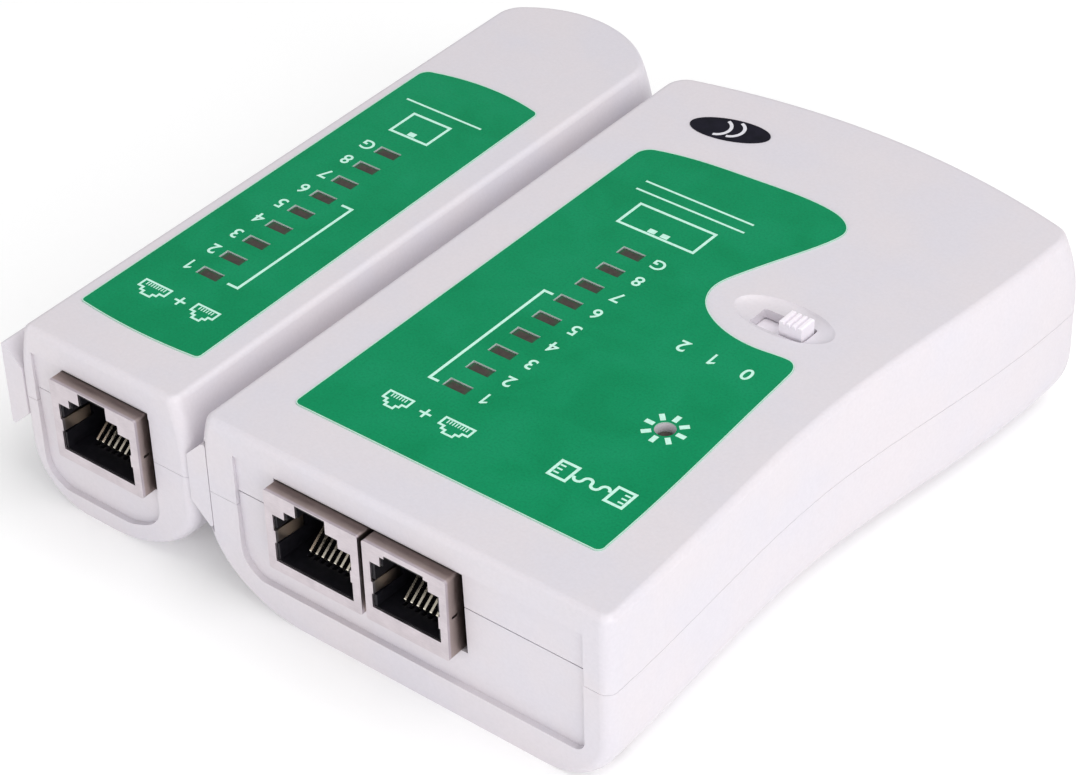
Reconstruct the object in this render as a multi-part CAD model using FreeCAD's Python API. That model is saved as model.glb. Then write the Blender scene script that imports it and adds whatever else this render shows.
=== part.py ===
import FreeCAD, Part
import math
import os
from FreeCAD import Vector

# Network cable tester: a master unit and a smaller remote unit that docks on its left side
# by a dovetail. +Z is up, the sockets face -Y, the switch slides along X. Millimetres.
# The origin is under the middle of the docked pair, on the surface it rests on.

# ---- overall size -------------------------------------------------------------------------
MASTER_WIDTH = 69.1        # widest line of the master, near its back
REMOTE_WIDTH = 30.3        # widest line of the remote, without its rails
UNIT_GAP = 1.7             # daylight between the two widest lines
RAIL_DEPTH = 3.2           # how far a dovetail rail stands out from the remote
TOTAL_LENGTH = 108.4       # socket fronts to the back of the remote
SOCKET_PROUD = 1.8         # sockets stand this far out of the end face
HEIGHT = 28.0              # resting surface to the flat top faces
WALL = 2.0

TOTAL_WIDTH = RAIL_DEPTH + REMOTE_WIDTH + UNIT_GAP + MASTER_WIDTH
REMOTE_LEFT = -TOTAL_WIDTH / 2 + RAIL_DEPTH
REMOTE_RIGHT = REMOTE_LEFT + REMOTE_WIDTH
MASTER_LEFT = REMOTE_RIGHT + UNIT_GAP
MASTER_RIGHT = MASTER_LEFT + MASTER_WIDTH
SOCKET_FRONT = -TOTAL_LENGTH / 2
FACE = SOCKET_FRONT + SOCKET_PROUD
REMOTE_BACK = TOTAL_LENGTH / 2
MASTER_BACK = REMOTE_BACK - 1.2

# ---- shape of the housings ----------------------------------------------------------------
CROWN = 1.7                # the sides lean in by this much up to the flat top
CROWN_START = 18.0         # height where that lean begins
TOP_ROUND = 1.0            # round on the edge of the flat top
FRONT_CORNER = 1.6
CORNER_SHARE = 0.3         # a corner arc takes at most this share of the outline's width
FOOT_LEVELS = (0.0, 0.25, 0.9, 2.0, 3.6, 5.8, 8.5)
SIDE_LEVELS = (12.0, 15.0, 18.0, 21.0, 24.0, 26.2, HEIGHT)
DOCK_FOOT = (15.0, 11.5)   # run and rise of the bottom corner on the docking side
OUTER_FOOT = (8.5, 8.5)    # run and rise of the bottom corner on the outer side and back

# ---- seam between the two shells ------------------------------------------------------------
SEAM = 16.0                # height of the seam round the sides
SEAM_FRONT = 18.0          # height of the seam in the end recess
SIDE_SEAM_GAP = 0.06       # tight round the sides, open enough to see in the end recess
LIP_HEIGHT = 1.3
LIP_THICKNESS = 0.8
LIP_PLAY = 0.1

# ---- end recess and socket opening ----------------------------------------------------------
RECESS_TOP = 24.0
RECESS_DEPTH_TOP = 0.4     # the recess deepens from here
RECESS_DEPTH_BOTTOM = 0.9  # to here
OPENING_BOTTOM = 10.45
OPENING_TOP = 23.3

# ---- dovetail -------------------------------------------------------------------------------
RAIL_MIDDLE = 16.6         # height of the rail's centreline
RAIL_ROOT_HALF = 4.0       # half height at the housing; the flanks open at 45 degrees
RAIL_TIP_ROUND = 0.4
RAIL_LENGTH = 90.0
RAIL_PLAY = 0.12           # clearance on each flank of the groove
GROOVE_FLOOR_PLAY = 0.15
GROOVE_BACKING = 1.6       # wall left behind the groove

# ---- sockets --------------------------------------------------------------------------------
SOCKET_TOP = 23.15
SOCKET_HEIGHT = 12.6
SOCKET_DEPTH = 15.5
SHEET = 0.3                # shield sheet metal
CONTACT_PITCH = 1.02
WIRE = 0.34
REMOTE_SOCKET_X = REMOTE_LEFT + 15.25
MASTER_SOCKET_X = MASTER_LEFT + 20.7
PHONE_SOCKET_X = MASTER_LEFT + 35.7
EIGHT_WAY = {"width": 15.4, "window": 6.4, "step": 4.4, "notch": 2.45, "cavity": 6.0,
             "window_bottom": 12.2, "window_top": 19.7, "step_top": 21.0, "notch_top": 23.0,
             "ways": 8, "tip": 3.4}
SIX_WAY = {"width": 13.2, "window": 5.45, "step": 3.8, "notch": 3.1, "cavity": 4.95,
           "window_bottom": 13.0, "window_top": 20.3, "step_top": 21.8, "notch_top": 22.3,
           "ways": 6, "tip": 2.9}

# ---- circuit boards and lamps -----------------------------------------------------------------
BOARD_BOTTOM = 23.3
BOARD_THICKNESS = 1.6
BOARD_TOP = BOARD_BOTTOM + BOARD_THICKNESS
LAMP_COUNT = 9
LAMP_PITCH = 4.48
LAMP_LENGTH = 3.5
LAMP_WIDTH = 1.6
LAMP_TOP = HEIGHT - 0.1
MASTER_LAMP_X = MASTER_LEFT + 23.4
REMOTE_LAMP_X = REMOTE_LEFT + 13.55
MASTER_LAMP_Y = FACE + 23.7
REMOTE_LAMP_Y = FACE + 22.9
POWER_LAMP = (MASTER_LEFT + 49.4, FACE + 32.25)
POWER_LAMP_RADIUS = 1.3
LEG = 0.5
LABEL_THICKNESS = 0.15
BADGE_CENTRE = (-0.66, 39.4)
BADGE_HALF = (5.95, 2.65)
BADGE_TURN = 15             # degrees, anticlockwise seen from above

# ---- slide switch -----------------------------------------------------------------------------
SLOT_CENTRE = (MASTER_LEFT + 48.25, FACE + 59.1)
SLOT_LENGTH = 8.3
SLOT_WIDTH = 3.8
SLOT_CORNER = 0.4
DISH_CENTRE = (MASTER_LEFT + 47.9, FACE + 59.8)
DISH_HALF = (7.6, 3.7)
DISH_DEPTH = 0.6
KNOB_LENGTH = 3.5
KNOB_WIDTH = 2.9
KNOB_TOP = 29.4
KNOB_END_PLAY = 0.35
KNOB_RIDGES = 4
SKIRT = (13.2, 4.7)        # plate on the knob that keeps the slot closed at every position
SKIRT_BOTTOM = 25.15
SKIRT_TOP = 25.8
SWITCH_CASE = (12.6, 6.4, 4.2)

# ---- battery ----------------------------------------------------------------------------------
BATTERY = (26.5, 46.4, 17.5)
BATTERY_X = MASTER_LEFT + 28.0
BATTERY_FRONT = FACE + 48.0
DOOR_WIDTH = 28.5
DOOR_FRONT = FACE + 42.5
DOOR_THICKNESS = 1.7
DOOR_PLAY = 0.2
DOOR_TONGUE = 1.2
TONGUE_BOTTOM = 0.8
TONGUE_TOP = 1.45
BATTERY_FLOOR = DOOR_THICKNESS + DOOR_PLAY
SNAP_FRONT = BATTERY_FRONT - 4.6

# ---- screws -----------------------------------------------------------------------------------
BOSS_RADIUS = 3.4
SCREW_RADIUS = 1.2
HEAD_RADIUS = 2.3
HEAD_SEAT = 5.5            # height of the screw head's bearing face
SCREW_TOP = 20.5
STUD_RADIUS = 2.2
SMALL_SCREW_RADIUS = 0.8
SMALL_HEAD_RADIUS = 1.7
MASTER_BOSSES = ((MASTER_LEFT + 8.4, FACE + 6.4), (MASTER_LEFT + 58.6, FACE + 6.4),
                 (MASTER_LEFT + 9.0, FACE + 95.0), (MASTER_LEFT + 60.5, FACE + 92.0))
REMOTE_BOSSES = ((REMOTE_LEFT + 13.2, FACE + 18.2), (REMOTE_LEFT + 13.2, FACE + 88.5))
MASTER_STUDS = ((MASTER_LEFT + 8.6, FACE + 62.0), (MASTER_LEFT + 55.0, FACE + 40.0))
REMOTE_STUDS = ((REMOTE_LEFT + 6.2, FACE + 64.0), (REMOTE_LEFT + 22.5, FACE + 64.0))

MASTER = {"left": MASTER_LEFT, "right": MASTER_RIGHT, "back": MASTER_BACK,
          "back_radius": 112.0, "back_middle": MASTER_LEFT + 33.3, "back_corner": 3.6,
          "left_foot": DOCK_FOOT, "right_foot": OUTER_FOOT, "left_nose": FRONT_CORNER,
          "front_seam_gap": 0.18,
          # distance from the face, how far in from the widest line, share of the crown
          "flank": ((24.0, 4.6, 0.0), (48.0, 4.9, 0.3), (72.5, 1.9, 0.85)),
          "flank_start": (3.7, 0.0)}
REMOTE = {"left": REMOTE_LEFT, "right": REMOTE_RIGHT, "back": REMOTE_BACK,
          "back_radius": 19.5, "back_middle": REMOTE_LEFT + REMOTE_WIDTH / 2 - 0.9,
          "back_corner": 4.5,
          "left_foot": OUTER_FOOT, "right_foot": DOCK_FOOT, "left_nose": 1.05,
          "front_seam_gap": 0.1,
          "flank": (), "flank_start": (0.0, 1.0)}


# ---- small helpers ------------------------------------------------------------------------
def box(x0, x1, y0, y1, z0, z1):
    return Part.makeBox(x1 - x0, y1 - y0, z1 - z0, Vector(x0, y0, z0))


def upright(x, y, z0, z1, radius):
    return Part.makeCylinder(radius, z1 - z0, Vector(x, y, z0), Vector(0, 0, 1))


def merge(shapes):
    return shapes[0].multiFuse(shapes[1:])


def join(shapes):
    """A merge with the leftover seams between flush faces taken out; for simple shapes."""
    return merge(shapes).removeSplitter()


def group(shapes):
    return Part.makeCompound(shapes)


def prism_along_y(points, y0, y1):
    corners = [Vector(x, y0, z) for x, z in points]
    corners.append(corners[0])
    return Part.Face(Part.makePolygon(corners)).extrude(Vector(0, y1 - y0, 0))


def prism_along_x(points, x0, x1):
    corners = [Vector(x0, y, z) for y, z in points]
    corners.append(corners[0])
    return Part.Face(Part.makePolygon(corners)).extrude(Vector(x1 - x0, 0, 0))


def rounded_slab(x0, x1, y0, y1, z0, z1, radius):
    """A block whose four edges along Y are rounded."""
    block = box(x0, x1, y0, y1, z0, z1)
    edges = [e for e in block.Edges if abs(e.BoundBox.YLength - (y1 - y0)) < 1e-6]
    return block.makeFillet(radius, edges)


def three_point(a, b, c):
    return Part.Arc(Vector(*a), Vector(*b), Vector(*c)).toShape()


def straight(a, b):
    return Part.LineSegment(Vector(*a), Vector(*b)).toShape()


def smooth_through(points, start=None, end=None):
    curve = Part.BSplineCurve()
    vectors = [Vector(*p) for p in points]
    if start:
        curve.interpolate(Points=vectors, InitialTangent=Vector(*start), FinalTangent=Vector(*end))
    else:
        curve.interpolate(Points=vectors)
    return curve.toShape()


def only_solid(shape):
    """The largest solid of a result that should be one solid."""
    return max(shape.Solids, key=lambda s: s.Volume)


# ---- housing bodies -------------------------------------------------------------------------
def crown_inset(z):
    if z <= CROWN_START:
        return 0.0
    return CROWN * ((z - CROWN_START) / (HEIGHT - CROWN_START)) ** 2


def foot_inset(z, foot, wall):
    run = foot[0] - wall
    rise = foot[1] - wall
    depth = 1 - (z - wall) / rise
    if depth <= 0:
        return 0.0
    return run * (1 - math.sqrt(max(0.0, 1 - depth * depth)))


def corner_centre(unit, radius, side_x, back_radius):
    """Centre of a corner arc that is tangent to a side line and to the back arc."""
    across = side_x - unit["back_middle"]
    centre_y = unit["back"] - unit["back_radius"]
    return centre_y + math.sqrt((back_radius - radius) ** 2 - across ** 2)


def on_back_arc(unit, centre_x, centre_y, back_radius):
    origin_y = unit["back"] - unit["back_radius"]
    dx = centre_x - unit["back_middle"]
    dy = centre_y - origin_y
    scale = back_radius / math.hypot(dx, dy)
    return (unit["back_middle"] + dx * scale, origin_y + dy * scale)


def corner_middle(centre_x, centre_y, radius, a, b):
    dx = (a[0] + b[0]) / 2 - centre_x
    dy = (a[1] + b[1]) / 2 - centre_y
    scale = radius / math.hypot(dx, dy)
    return (centre_x + dx * scale, centre_y + dy * scale)


def outline(unit, z, wall):
    """One closed plan outline of a housing at height z, moved in by wall."""
    front = FACE + wall
    left = unit["left"] + wall + foot_inset(z, unit["left_foot"], wall) + crown_inset(z)
    foot = wall + foot_inset(z, unit["right_foot"], wall)
    crown = crown_inset(z)
    start_in, start_share = unit["flank_start"]
    right_front = unit["right"] - start_in - foot - crown * start_share
    right_back = unit["right"] - foot - crown
    back_in = wall + foot_inset(z, OUTER_FOOT, wall) + crown
    back_radius = unit["back_radius"] - back_in
    room = CORNER_SHARE * (right_back - left)
    nose = min(FRONT_CORNER, room)
    left_nose = min(unit["left_nose"], room)
    corner = min(unit["back_corner"], room)

    right_centre = (right_back - corner, corner_centre(unit, corner, right_back - corner, back_radius))
    left_centre = (left + corner, corner_centre(unit, corner, left + corner, back_radius))
    right_arc = on_back_arc(unit, right_centre[0], right_centre[1], back_radius)
    left_arc = on_back_arc(unit, left_centre[0], left_centre[1], back_radius)
    side_end = (right_back, right_centre[1])
    left_end = (left, left_centre[1])
    right_middle = corner_middle(right_centre[0], right_centre[1], corner, side_end, right_arc)
    left_middle = corner_middle(left_centre[0], left_centre[1], corner, left_end, left_arc)
    origin_y = unit["back"] - unit["back_radius"]
    arc_top = corner_middle(unit["back_middle"], origin_y, back_radius, left_arc, right_arc)
    slope = nose * (1 - math.sqrt(0.5))
    left_slope = left_nose * (1 - math.sqrt(0.5))

    flank = [(right_front, front + nose, z)]
    for along, inward, share in unit["flank"]:
        flank.append((unit["right"] - inward - foot - crown * share, FACE + along, z))
    flank.append((side_end[0], side_end[1], z))

    edges = [
        straight((left + left_nose, front, z), (right_front - nose, front, z)),
        three_point((right_front - nose, front, z), (right_front - slope, front + slope, z), flank[0]),
        smooth_through(flank, (0, 1, 0), (0, 1, 0)),
        three_point((*side_end, z), (*right_middle, z), (*right_arc, z)),
        three_point((*right_arc, z), (*arc_top, z), (*left_arc, z)),
        three_point((*left_arc, z), (*left_middle, z), (*left_end, z)),
        straight((*left_end, z), (left, front + left_nose, z)),
        three_point((left, front + left_nose, z), (left + left_slope, front + left_slope, z),
                    (left + left_nose, front, z)),
    ]
    return Part.Wire(edges)


def housing_solid(unit):
    """The whole outer body: a smooth loft with a rounded rim round the flat top."""
    levels = FOOT_LEVELS + SIDE_LEVELS
    body = Part.makeLoft([outline(unit, z, 0.0) for z in levels], True, False)
    rim = [e for e in body.Edges if e.BoundBox.ZMin > HEIGHT - 1e-4]
    return body.makeFillet(TOP_ROUND, rim)


def hollow_solid(unit, wall):
    """The space inside a housing whose walls are this thick."""
    levels = [wall + 0.01]
    levels += [z + wall for z in FOOT_LEVELS[1:]]
    levels += [z for z in SIDE_LEVELS if wall + FOOT_LEVELS[-1] < z < HEIGHT - wall - 0.3]
    levels.append(HEIGHT - wall)
    return Part.makeLoft([outline(unit, z, wall) for z in levels], True, True)


def rail_points(root_x, side):
    """Dovetail section: narrow at the housing, opening outward to side (-1 left, +1 right)."""
    sunk = 0.3
    outer = root_x + side * RAIL_DEPTH
    inner = root_x - side * sunk
    narrow = RAIL_ROOT_HALF - sunk
    wide = RAIL_ROOT_HALF + RAIL_DEPTH
    return [(inner, RAIL_MIDDLE - narrow), (outer, RAIL_MIDDLE - wide),
            (outer, RAIL_MIDDLE + wide), (inner, RAIL_MIDDLE + narrow)]


def rail(root_x, side):
    bar = prism_along_y(rail_points(root_x, side), FACE, FACE + RAIL_LENGTH)
    outer = root_x + side * RAIL_DEPTH
    tips = [e for e in bar.Edges if e.BoundBox.YLength > RAIL_LENGTH - 1
            and abs(e.CenterOfMass.x - outer) < 1e-4]
    return bar.makeFillet(RAIL_TIP_ROUND, tips)


def rails():
    return [rail(REMOTE_LEFT, -1), rail(REMOTE_RIGHT, 1)]


def groove():
    """The slot in the master's side that takes the remote's right-hand rail."""
    floor_x = REMOTE_RIGHT + RAIL_DEPTH + GROOVE_FLOOR_PLAY
    mouth_x = MASTER_LEFT - 1.0
    flank = RAIL_PLAY * math.sqrt(2)
    wide = RAIL_ROOT_HALF + floor_x - REMOTE_RIGHT + flank
    narrow = RAIL_ROOT_HALF + mouth_x - REMOTE_RIGHT + flank
    points = [(mouth_x, RAIL_MIDDLE - narrow), (floor_x, RAIL_MIDDLE - wide),
              (floor_x, RAIL_MIDDLE + wide), (mouth_x, RAIL_MIDDLE + narrow)]
    return prism_along_y(points, FACE - 1, FACE + RAIL_LENGTH + 0.4)


def groove_backing():
    floor_x = REMOTE_RIGHT + RAIL_DEPTH + GROOVE_FLOOR_PLAY
    half = RAIL_ROOT_HALF + floor_x - REMOTE_RIGHT + GROOVE_BACKING
    return box(MASTER_LEFT - 1, floor_x + GROOVE_BACKING, FACE, FACE + RAIL_LENGTH + 0.4 + WALL,
               RAIL_MIDDLE - half, RAIL_MIDDLE + half)


def elliptic_corner(x, z, run, rise, y):
    """A quarter ellipse from (x, z + rise) down to (x + run, z); a negative run turns it left."""
    centre_x = x + run
    centre_z = z + rise
    points = []
    for degrees in (180, 202.5, 225, 247.5, 270):
        turn = math.radians(degrees)
        points.append((centre_x + run * math.cos(turn), y, centre_z + rise * math.sin(turn)))
    return smooth_through(points, (0, 0, -1), (math.copysign(1, run), 0, 0))


def end_recess(recess):
    """The sunken panel in the end face: it deepens downward and has wide lower corners."""
    x0, x1, bottom, left_corner, right_corner = recess
    y = FACE - 1
    edges = [
        straight((x0, y, RECESS_TOP), (x0, y, bottom + left_corner[1])),
        elliptic_corner(x0, bottom, left_corner[0], left_corner[1], y),
        straight((x0 + left_corner[0], y, bottom), (x1 - right_corner[0], y, bottom)),
        elliptic_corner(x1, bottom, -right_corner[0], right_corner[1], y),
        straight((x1, y, bottom + right_corner[1]), (x1, y, RECESS_TOP)),
        straight((x1, y, RECESS_TOP), (x0, y, RECESS_TOP)),
    ]
    panel = Part.Face(Part.Wire(Part.sortEdges(edges)[0])).extrude(Vector(0, 4, 0))
    floor = [(FACE - 2, RECESS_TOP), (FACE + RECESS_DEPTH_TOP, RECESS_TOP),
             (FACE + RECESS_DEPTH_BOTTOM, bottom), (FACE - 2, bottom)]
    return panel.common(prism_along_x(floor, x0 - 1, x1 + 1))


def lower_zone(unit, recess, raised, lift, front_lift):
    """Everything below the seam; the seam steps up in the end recess and behind the rails."""
    far = 10.0
    zone = [box(unit["left"] - far, unit["right"] + far, FACE - far, unit["back"] + far,
                -far, SEAM + lift)]
    zone.append(box(recess[0] - lift, recess[1] + lift, FACE - far, FACE + WALL + 0.6,
                    SEAM - 1, SEAM_FRONT + front_lift))
    top = RAIL_MIDDLE + RAIL_ROOT_HALF
    for x0, x1 in raised:
        zone.append(box(x0 - lift, x1 + lift, FACE + WALL + 1.0 - lift, FACE + RAIL_LENGTH + lift,
                        SEAM - 1, top + lift))
    return join(zone)


def lip_ring(unit, hollow, where, inset, top):
    """A band just inside the wall that bridges the seam."""
    band = hollow_solid(unit, inset).common(join([box(*span, SEAM - 1.2, top) for span in where]))
    return band.cut(hollow)


def split_shells(unit, solid, hollow, recess, raised, lip_spans):
    lower = solid.common(lower_zone(unit, recess, raised, 0.0, 0.0))
    upper = solid.cut(lower_zone(unit, recess, raised, SIDE_SEAM_GAP, unit["front_seam_gap"]))
    lip = lip_ring(unit, hollow, lip_spans, WALL - LIP_THICKNESS + LIP_PLAY, SEAM + LIP_HEIGHT)
    rebate = lip_ring(unit, hollow, lip_spans, WALL - LIP_THICKNESS, SEAM + LIP_HEIGHT + LIP_PLAY)
    return lower.fuse(lip), upper.cut(rebate)


def boss_holes(places):
    cuts = []
    for x, y in places:
        cuts.append(upright(x, y, -1, HEAD_SEAT, HEAD_RADIUS + 0.3))
        cuts.append(upright(x, y, HEAD_SEAT - 1, SEAM, SCREW_RADIUS + 0.3))
        cuts.append(upright(x, y, SEAM - 1, SCREW_TOP + 1, SCREW_RADIUS + 0.05))
    return cuts


def lower_bosses(outer, places):
    posts = [upright(x, y, 0, SEAM - 0.4, BOSS_RADIUS) for x, y in places]
    return [post.common(outer) for post in posts]


def upper_bosses(places, studs):
    posts = [upright(x, y, SEAM - 0.2, HEIGHT - WALL + 0.5, BOSS_RADIUS) for x, y in places]
    posts += [upright(x, y, BOARD_TOP, HEIGHT - WALL + 0.5, STUD_RADIUS) for x, y in studs]
    return posts


def stud_holes(studs):
    return [upright(x, y, BOARD_TOP - 1, HEIGHT - 0.9, SMALL_SCREW_RADIUS + 0.05) for x, y in studs]


# ---- lamps and their windows ------------------------------------------------------------------
def lamp_rows(first_y):
    return [first_y + i * LAMP_PITCH for i in range(LAMP_COUNT)]


def lamp_windows(x, first_y, play):
    cuts = []
    for y in lamp_rows(first_y):
        half_x = LAMP_LENGTH / 2 + play
        half_y = LAMP_WIDTH / 2 + play
        cuts.append(box(x - half_x, x + half_x, y - half_y, y + half_y, BOARD_TOP, HEIGHT + 1))
    return cuts


def legs(x, y, bottom, top, spread=1.27):
    half = LEG / 2
    return [box(x + s - half, x + s + half, y - half, y + half, bottom, top)
            for s in (-spread, spread)]


def lamp(x, y):
    body = box(x - LAMP_LENGTH / 2, x + LAMP_LENGTH / 2, y - LAMP_WIDTH / 2, y + LAMP_WIDTH / 2,
               BOARD_TOP, LAMP_TOP)
    upright_edges = [e for e in body.Edges if e.BoundBox.ZLength > 1]
    body = body.makeFillet(0.25, upright_edges)
    return join([body] + legs(x, y, BOARD_BOTTOM - 1.2, BOARD_TOP + 0.2))


def power_lamp():
    x, y = POWER_LAMP
    barrel = upright(x, y, BOARD_TOP, LAMP_TOP - POWER_LAMP_RADIUS * 0.6, POWER_LAMP_RADIUS)
    top = [e for e in barrel.Edges if e.BoundBox.ZMin > LAMP_TOP - POWER_LAMP_RADIUS * 0.6 - 1e-4
           and e.BoundBox.ZLength < 1e-4]
    barrel = barrel.makeFillet(POWER_LAMP_RADIUS * 0.55, top)
    return join([barrel] + legs(x, y, BOARD_BOTTOM - 1.2, BOARD_TOP + 0.2, 0.75))


# ---- switch -----------------------------------------------------------------------------------
def switch_dish():
    x, y = DISH_CENTRE
    rings = []
    for depth_share, share in ((-0.08, 1.0), (0.4, 0.93), (0.8, 0.8), (1.0, 0.6)):
        level = HEIGHT - DISH_DEPTH * depth_share
        ring = Part.Ellipse(Vector(x, y, level), DISH_HALF[0] * share - (1 - share),
                            DISH_HALF[1] * share)
        rings.append(Part.Wire([ring.toShape()]))
    return Part.makeLoft(rings, True, False)


def switch_slot():
    x, y = SLOT_CENTRE
    hole = box(x - SLOT_LENGTH / 2, x + SLOT_LENGTH / 2, y - SLOT_WIDTH / 2, y + SLOT_WIDTH / 2,
               BOARD_TOP, HEIGHT + 1)
    return hole.makeFillet(SLOT_CORNER, [e for e in hole.Edges if e.BoundBox.ZLength > 1])


def knob_centre_x():
    return SLOT_CENTRE[0] + SLOT_LENGTH / 2 - KNOB_END_PLAY - KNOB_LENGTH / 2


def switch_knob():
    x = knob_centre_x()
    y = SLOT_CENTRE[1]
    bottom = BOARD_BOTTOM - 2.6
    block = box(x - KNOB_LENGTH / 2, x + KNOB_LENGTH / 2, y - KNOB_WIDTH / 2, y + KNOB_WIDTH / 2,
                bottom, KNOB_TOP)
    rim = [e for e in block.Edges if e.BoundBox.ZMin > KNOB_TOP - 1e-4]
    block = block.makeFillet(0.2, rim)
    grooves = []
    pitch = KNOB_LENGTH / KNOB_RIDGES
    for i in range(1, KNOB_RIDGES):
        at = x - KNOB_LENGTH / 2 + i * pitch
        section = [(at - 0.32, KNOB_TOP + 0.1), (at, KNOB_TOP - 0.65), (at + 0.32, KNOB_TOP + 0.1)]
        grooves.append(prism_along_y(section, y - KNOB_WIDTH, y + KNOB_WIDTH))
    skirt = box(x - SKIRT[0] / 2, x + SKIRT[0] / 2, y - SKIRT[1] / 2, y + SKIRT[1] / 2,
                SKIRT_BOTTOM, SKIRT_TOP)
    return only_solid(join([block.cut(grooves), skirt]))


def switch_case():
    x, y = SLOT_CENTRE
    length, width, height = SWITCH_CASE
    top = BOARD_BOTTOM
    case = box(x - length / 2, x + length / 2, y - width / 2, y + width / 2, top - height, top)
    travel = box(x - SLOT_LENGTH / 2 - 0.1, x + SLOT_LENGTH / 2 + 0.1,
                 y - KNOB_WIDTH / 2 - 0.2, y + KNOB_WIDTH / 2 + 0.2, top - 2.8, top + 1)
    case = case.cut(travel)
    pins = []
    for i in range(4):
        for side in (-1, 1):
            px = x - 3.75 + 2.5 * i
            py = y + side * 2.65
            pins.append(box(px - 0.25, px + 0.25, py - 0.15, py + 0.15, top - 0.5, BOARD_TOP + 0.7))
    return join([case] + pins)


def switch_board_cuts():
    x, y = SLOT_CENTRE
    cuts = [box(x - SLOT_LENGTH / 2 - 0.2, x + SLOT_LENGTH / 2 + 0.2,
                y - KNOB_WIDTH / 2 - 0.2, y + KNOB_WIDTH / 2 + 0.2, BOARD_BOTTOM - 1, BOARD_TOP + 1)]
    for i in range(4):
        for side in (-1, 1):
            cuts.append(upright(x - 3.75 + 2.5 * i, y + side * 2.65, BOARD_BOTTOM - 1, BOARD_TOP + 1, 0.32))
    return cuts


# ---- sockets ----------------------------------------------------------------------------------
def window_prism(x, kind):
    """The stepped hole in a shield's front: main window, shoulders, latch notch."""
    y1 = SOCKET_FRONT + SHEET + 0.5
    return join([
        box(x - kind["window"], x + kind["window"], SOCKET_FRONT - 1, y1,
            kind["window_bottom"], kind["window_top"]),
        box(x - kind["step"], x + kind["step"], SOCKET_FRONT - 1, y1,
            kind["window_bottom"], kind["step_top"]),
        box(x - kind["notch"], x + kind["notch"], SOCKET_FRONT - 1, y1,
            kind["window_bottom"], kind["notch_top"]),
    ])


def ground_tab(x, kind, side):
    """A spring strip bent in from the window's edge to touch a plug's screen."""
    edge = x + side * kind["window"]
    points = [(edge + side * 0.1, SOCKET_FRONT), (edge - side * 0.25, SOCKET_FRONT),
              (edge - side * 0.7, SOCKET_FRONT + 4.6), (edge - side * 0.45, SOCKET_FRONT + 4.6),
              (edge + side * 0.1, SOCKET_FRONT + 1.2)]
    corners = [Vector(px, py, 15.2) for px, py in points]
    corners.append(corners[0])
    return Part.Face(Part.makePolygon(corners)).extrude(Vector(0, 0, 1.9))


def socket_shield(x, kind):
    half = kind["width"] / 2
    back = SOCKET_FRONT + SOCKET_DEPTH
    bottom = SOCKET_TOP - SOCKET_HEIGHT
    can = box(x - half, x + half, SOCKET_FRONT, back, bottom, SOCKET_TOP)
    upright_edges = [e for e in can.Edges if abs(e.BoundBox.YLength - SOCKET_DEPTH) < 1e-6]
    can = can.makeFillet(0.35, upright_edges)
    inside = box(x - half + SHEET, x + half - SHEET, SOCKET_FRONT + SHEET, back + 1,
                 bottom + SHEET, SOCKET_TOP - SHEET)
    pin_gap = box(x - half + 1.2, x + half - 1.2, SOCKET_FRONT + 7, back + 1,
                  SOCKET_TOP - 1, SOCKET_TOP + 1)
    catches = [box(x + side * half - 0.5, x + side * half + 0.5, SOCKET_FRONT + 0.9, SOCKET_FRONT + 1.9,
                   16.7, 17.1) for side in (-1, 1)]
    can = can.cut([inside, pin_gap, window_prism(x, kind)] + catches)
    tabs = [ground_tab(x, kind, side) for side in (-1, 1)]
    return only_solid(join([can] + tabs))


def contact_places(x, kind):
    first = x - (kind["ways"] - 1) * CONTACT_PITCH / 2
    return [first + i * CONTACT_PITCH for i in range(kind["ways"])]


def socket_insert(x, kind):
    half = kind["width"] / 2 - SHEET - 0.05
    front = SOCKET_FRONT + SHEET + 0.05
    back = SOCKET_FRONT + SOCKET_DEPTH
    bottom = SOCKET_TOP - SOCKET_HEIGHT + SHEET + 0.05
    top = SOCKET_TOP - SHEET - 0.05
    floor = kind["window_bottom"] + 0.1
    inner = SOCKET_FRONT + 11.8
    block = box(x - half, x + half, front, back, bottom, top)
    cuts = [box(x - kind["cavity"], x + kind["cavity"], front - 1, inner,
                floor, kind["window_top"] - 0.1),
            box(x - kind["step"] + 0.2, x + kind["step"] - 0.2, front - 1, inner,
                floor, kind["step_top"] - 0.1),
            box(x - kind["notch"] + 0.1, x + kind["notch"] - 0.1, front - 1, inner - 2.5,
                floor, kind["notch_top"] - 0.6)]
    for side in (-1, 1):
        near = x + side * (kind["cavity"] - 0.5)
        far = x + side * (half - 0.35)
        cuts.append(box(min(near, far), max(near, far), front - 1, SOCKET_FRONT + 5.4, 14.9, 17.4))
    for cx in contact_places(x, kind):
        cuts.append(box(cx - 0.3, cx + 0.3, SOCKET_FRONT + kind["tip"] - 0.5, SOCKET_FRONT + 13.1,
                        floor - 0.95, floor + 0.5))
        cuts.append(box(cx - 0.3, cx + 0.3, SOCKET_FRONT + 12.3, SOCKET_FRONT + 13.1,
                        floor - 0.95, top + 1))
    return only_solid(block.cut(cuts))


def contact_path(kind):
    low = kind["window_bottom"] - 0.5
    tip = (SOCKET_FRONT + kind["tip"], kind["window_bottom"] + 0.75)
    free_end = (tip[0] + 6.9, tip[1] + 5.2)
    return [free_end, tip, (tip[0] + 0.8, low), (SOCKET_FRONT + 12.7, low),
            (SOCKET_FRONT + 12.7, BOARD_TOP + 0.7)]


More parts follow.
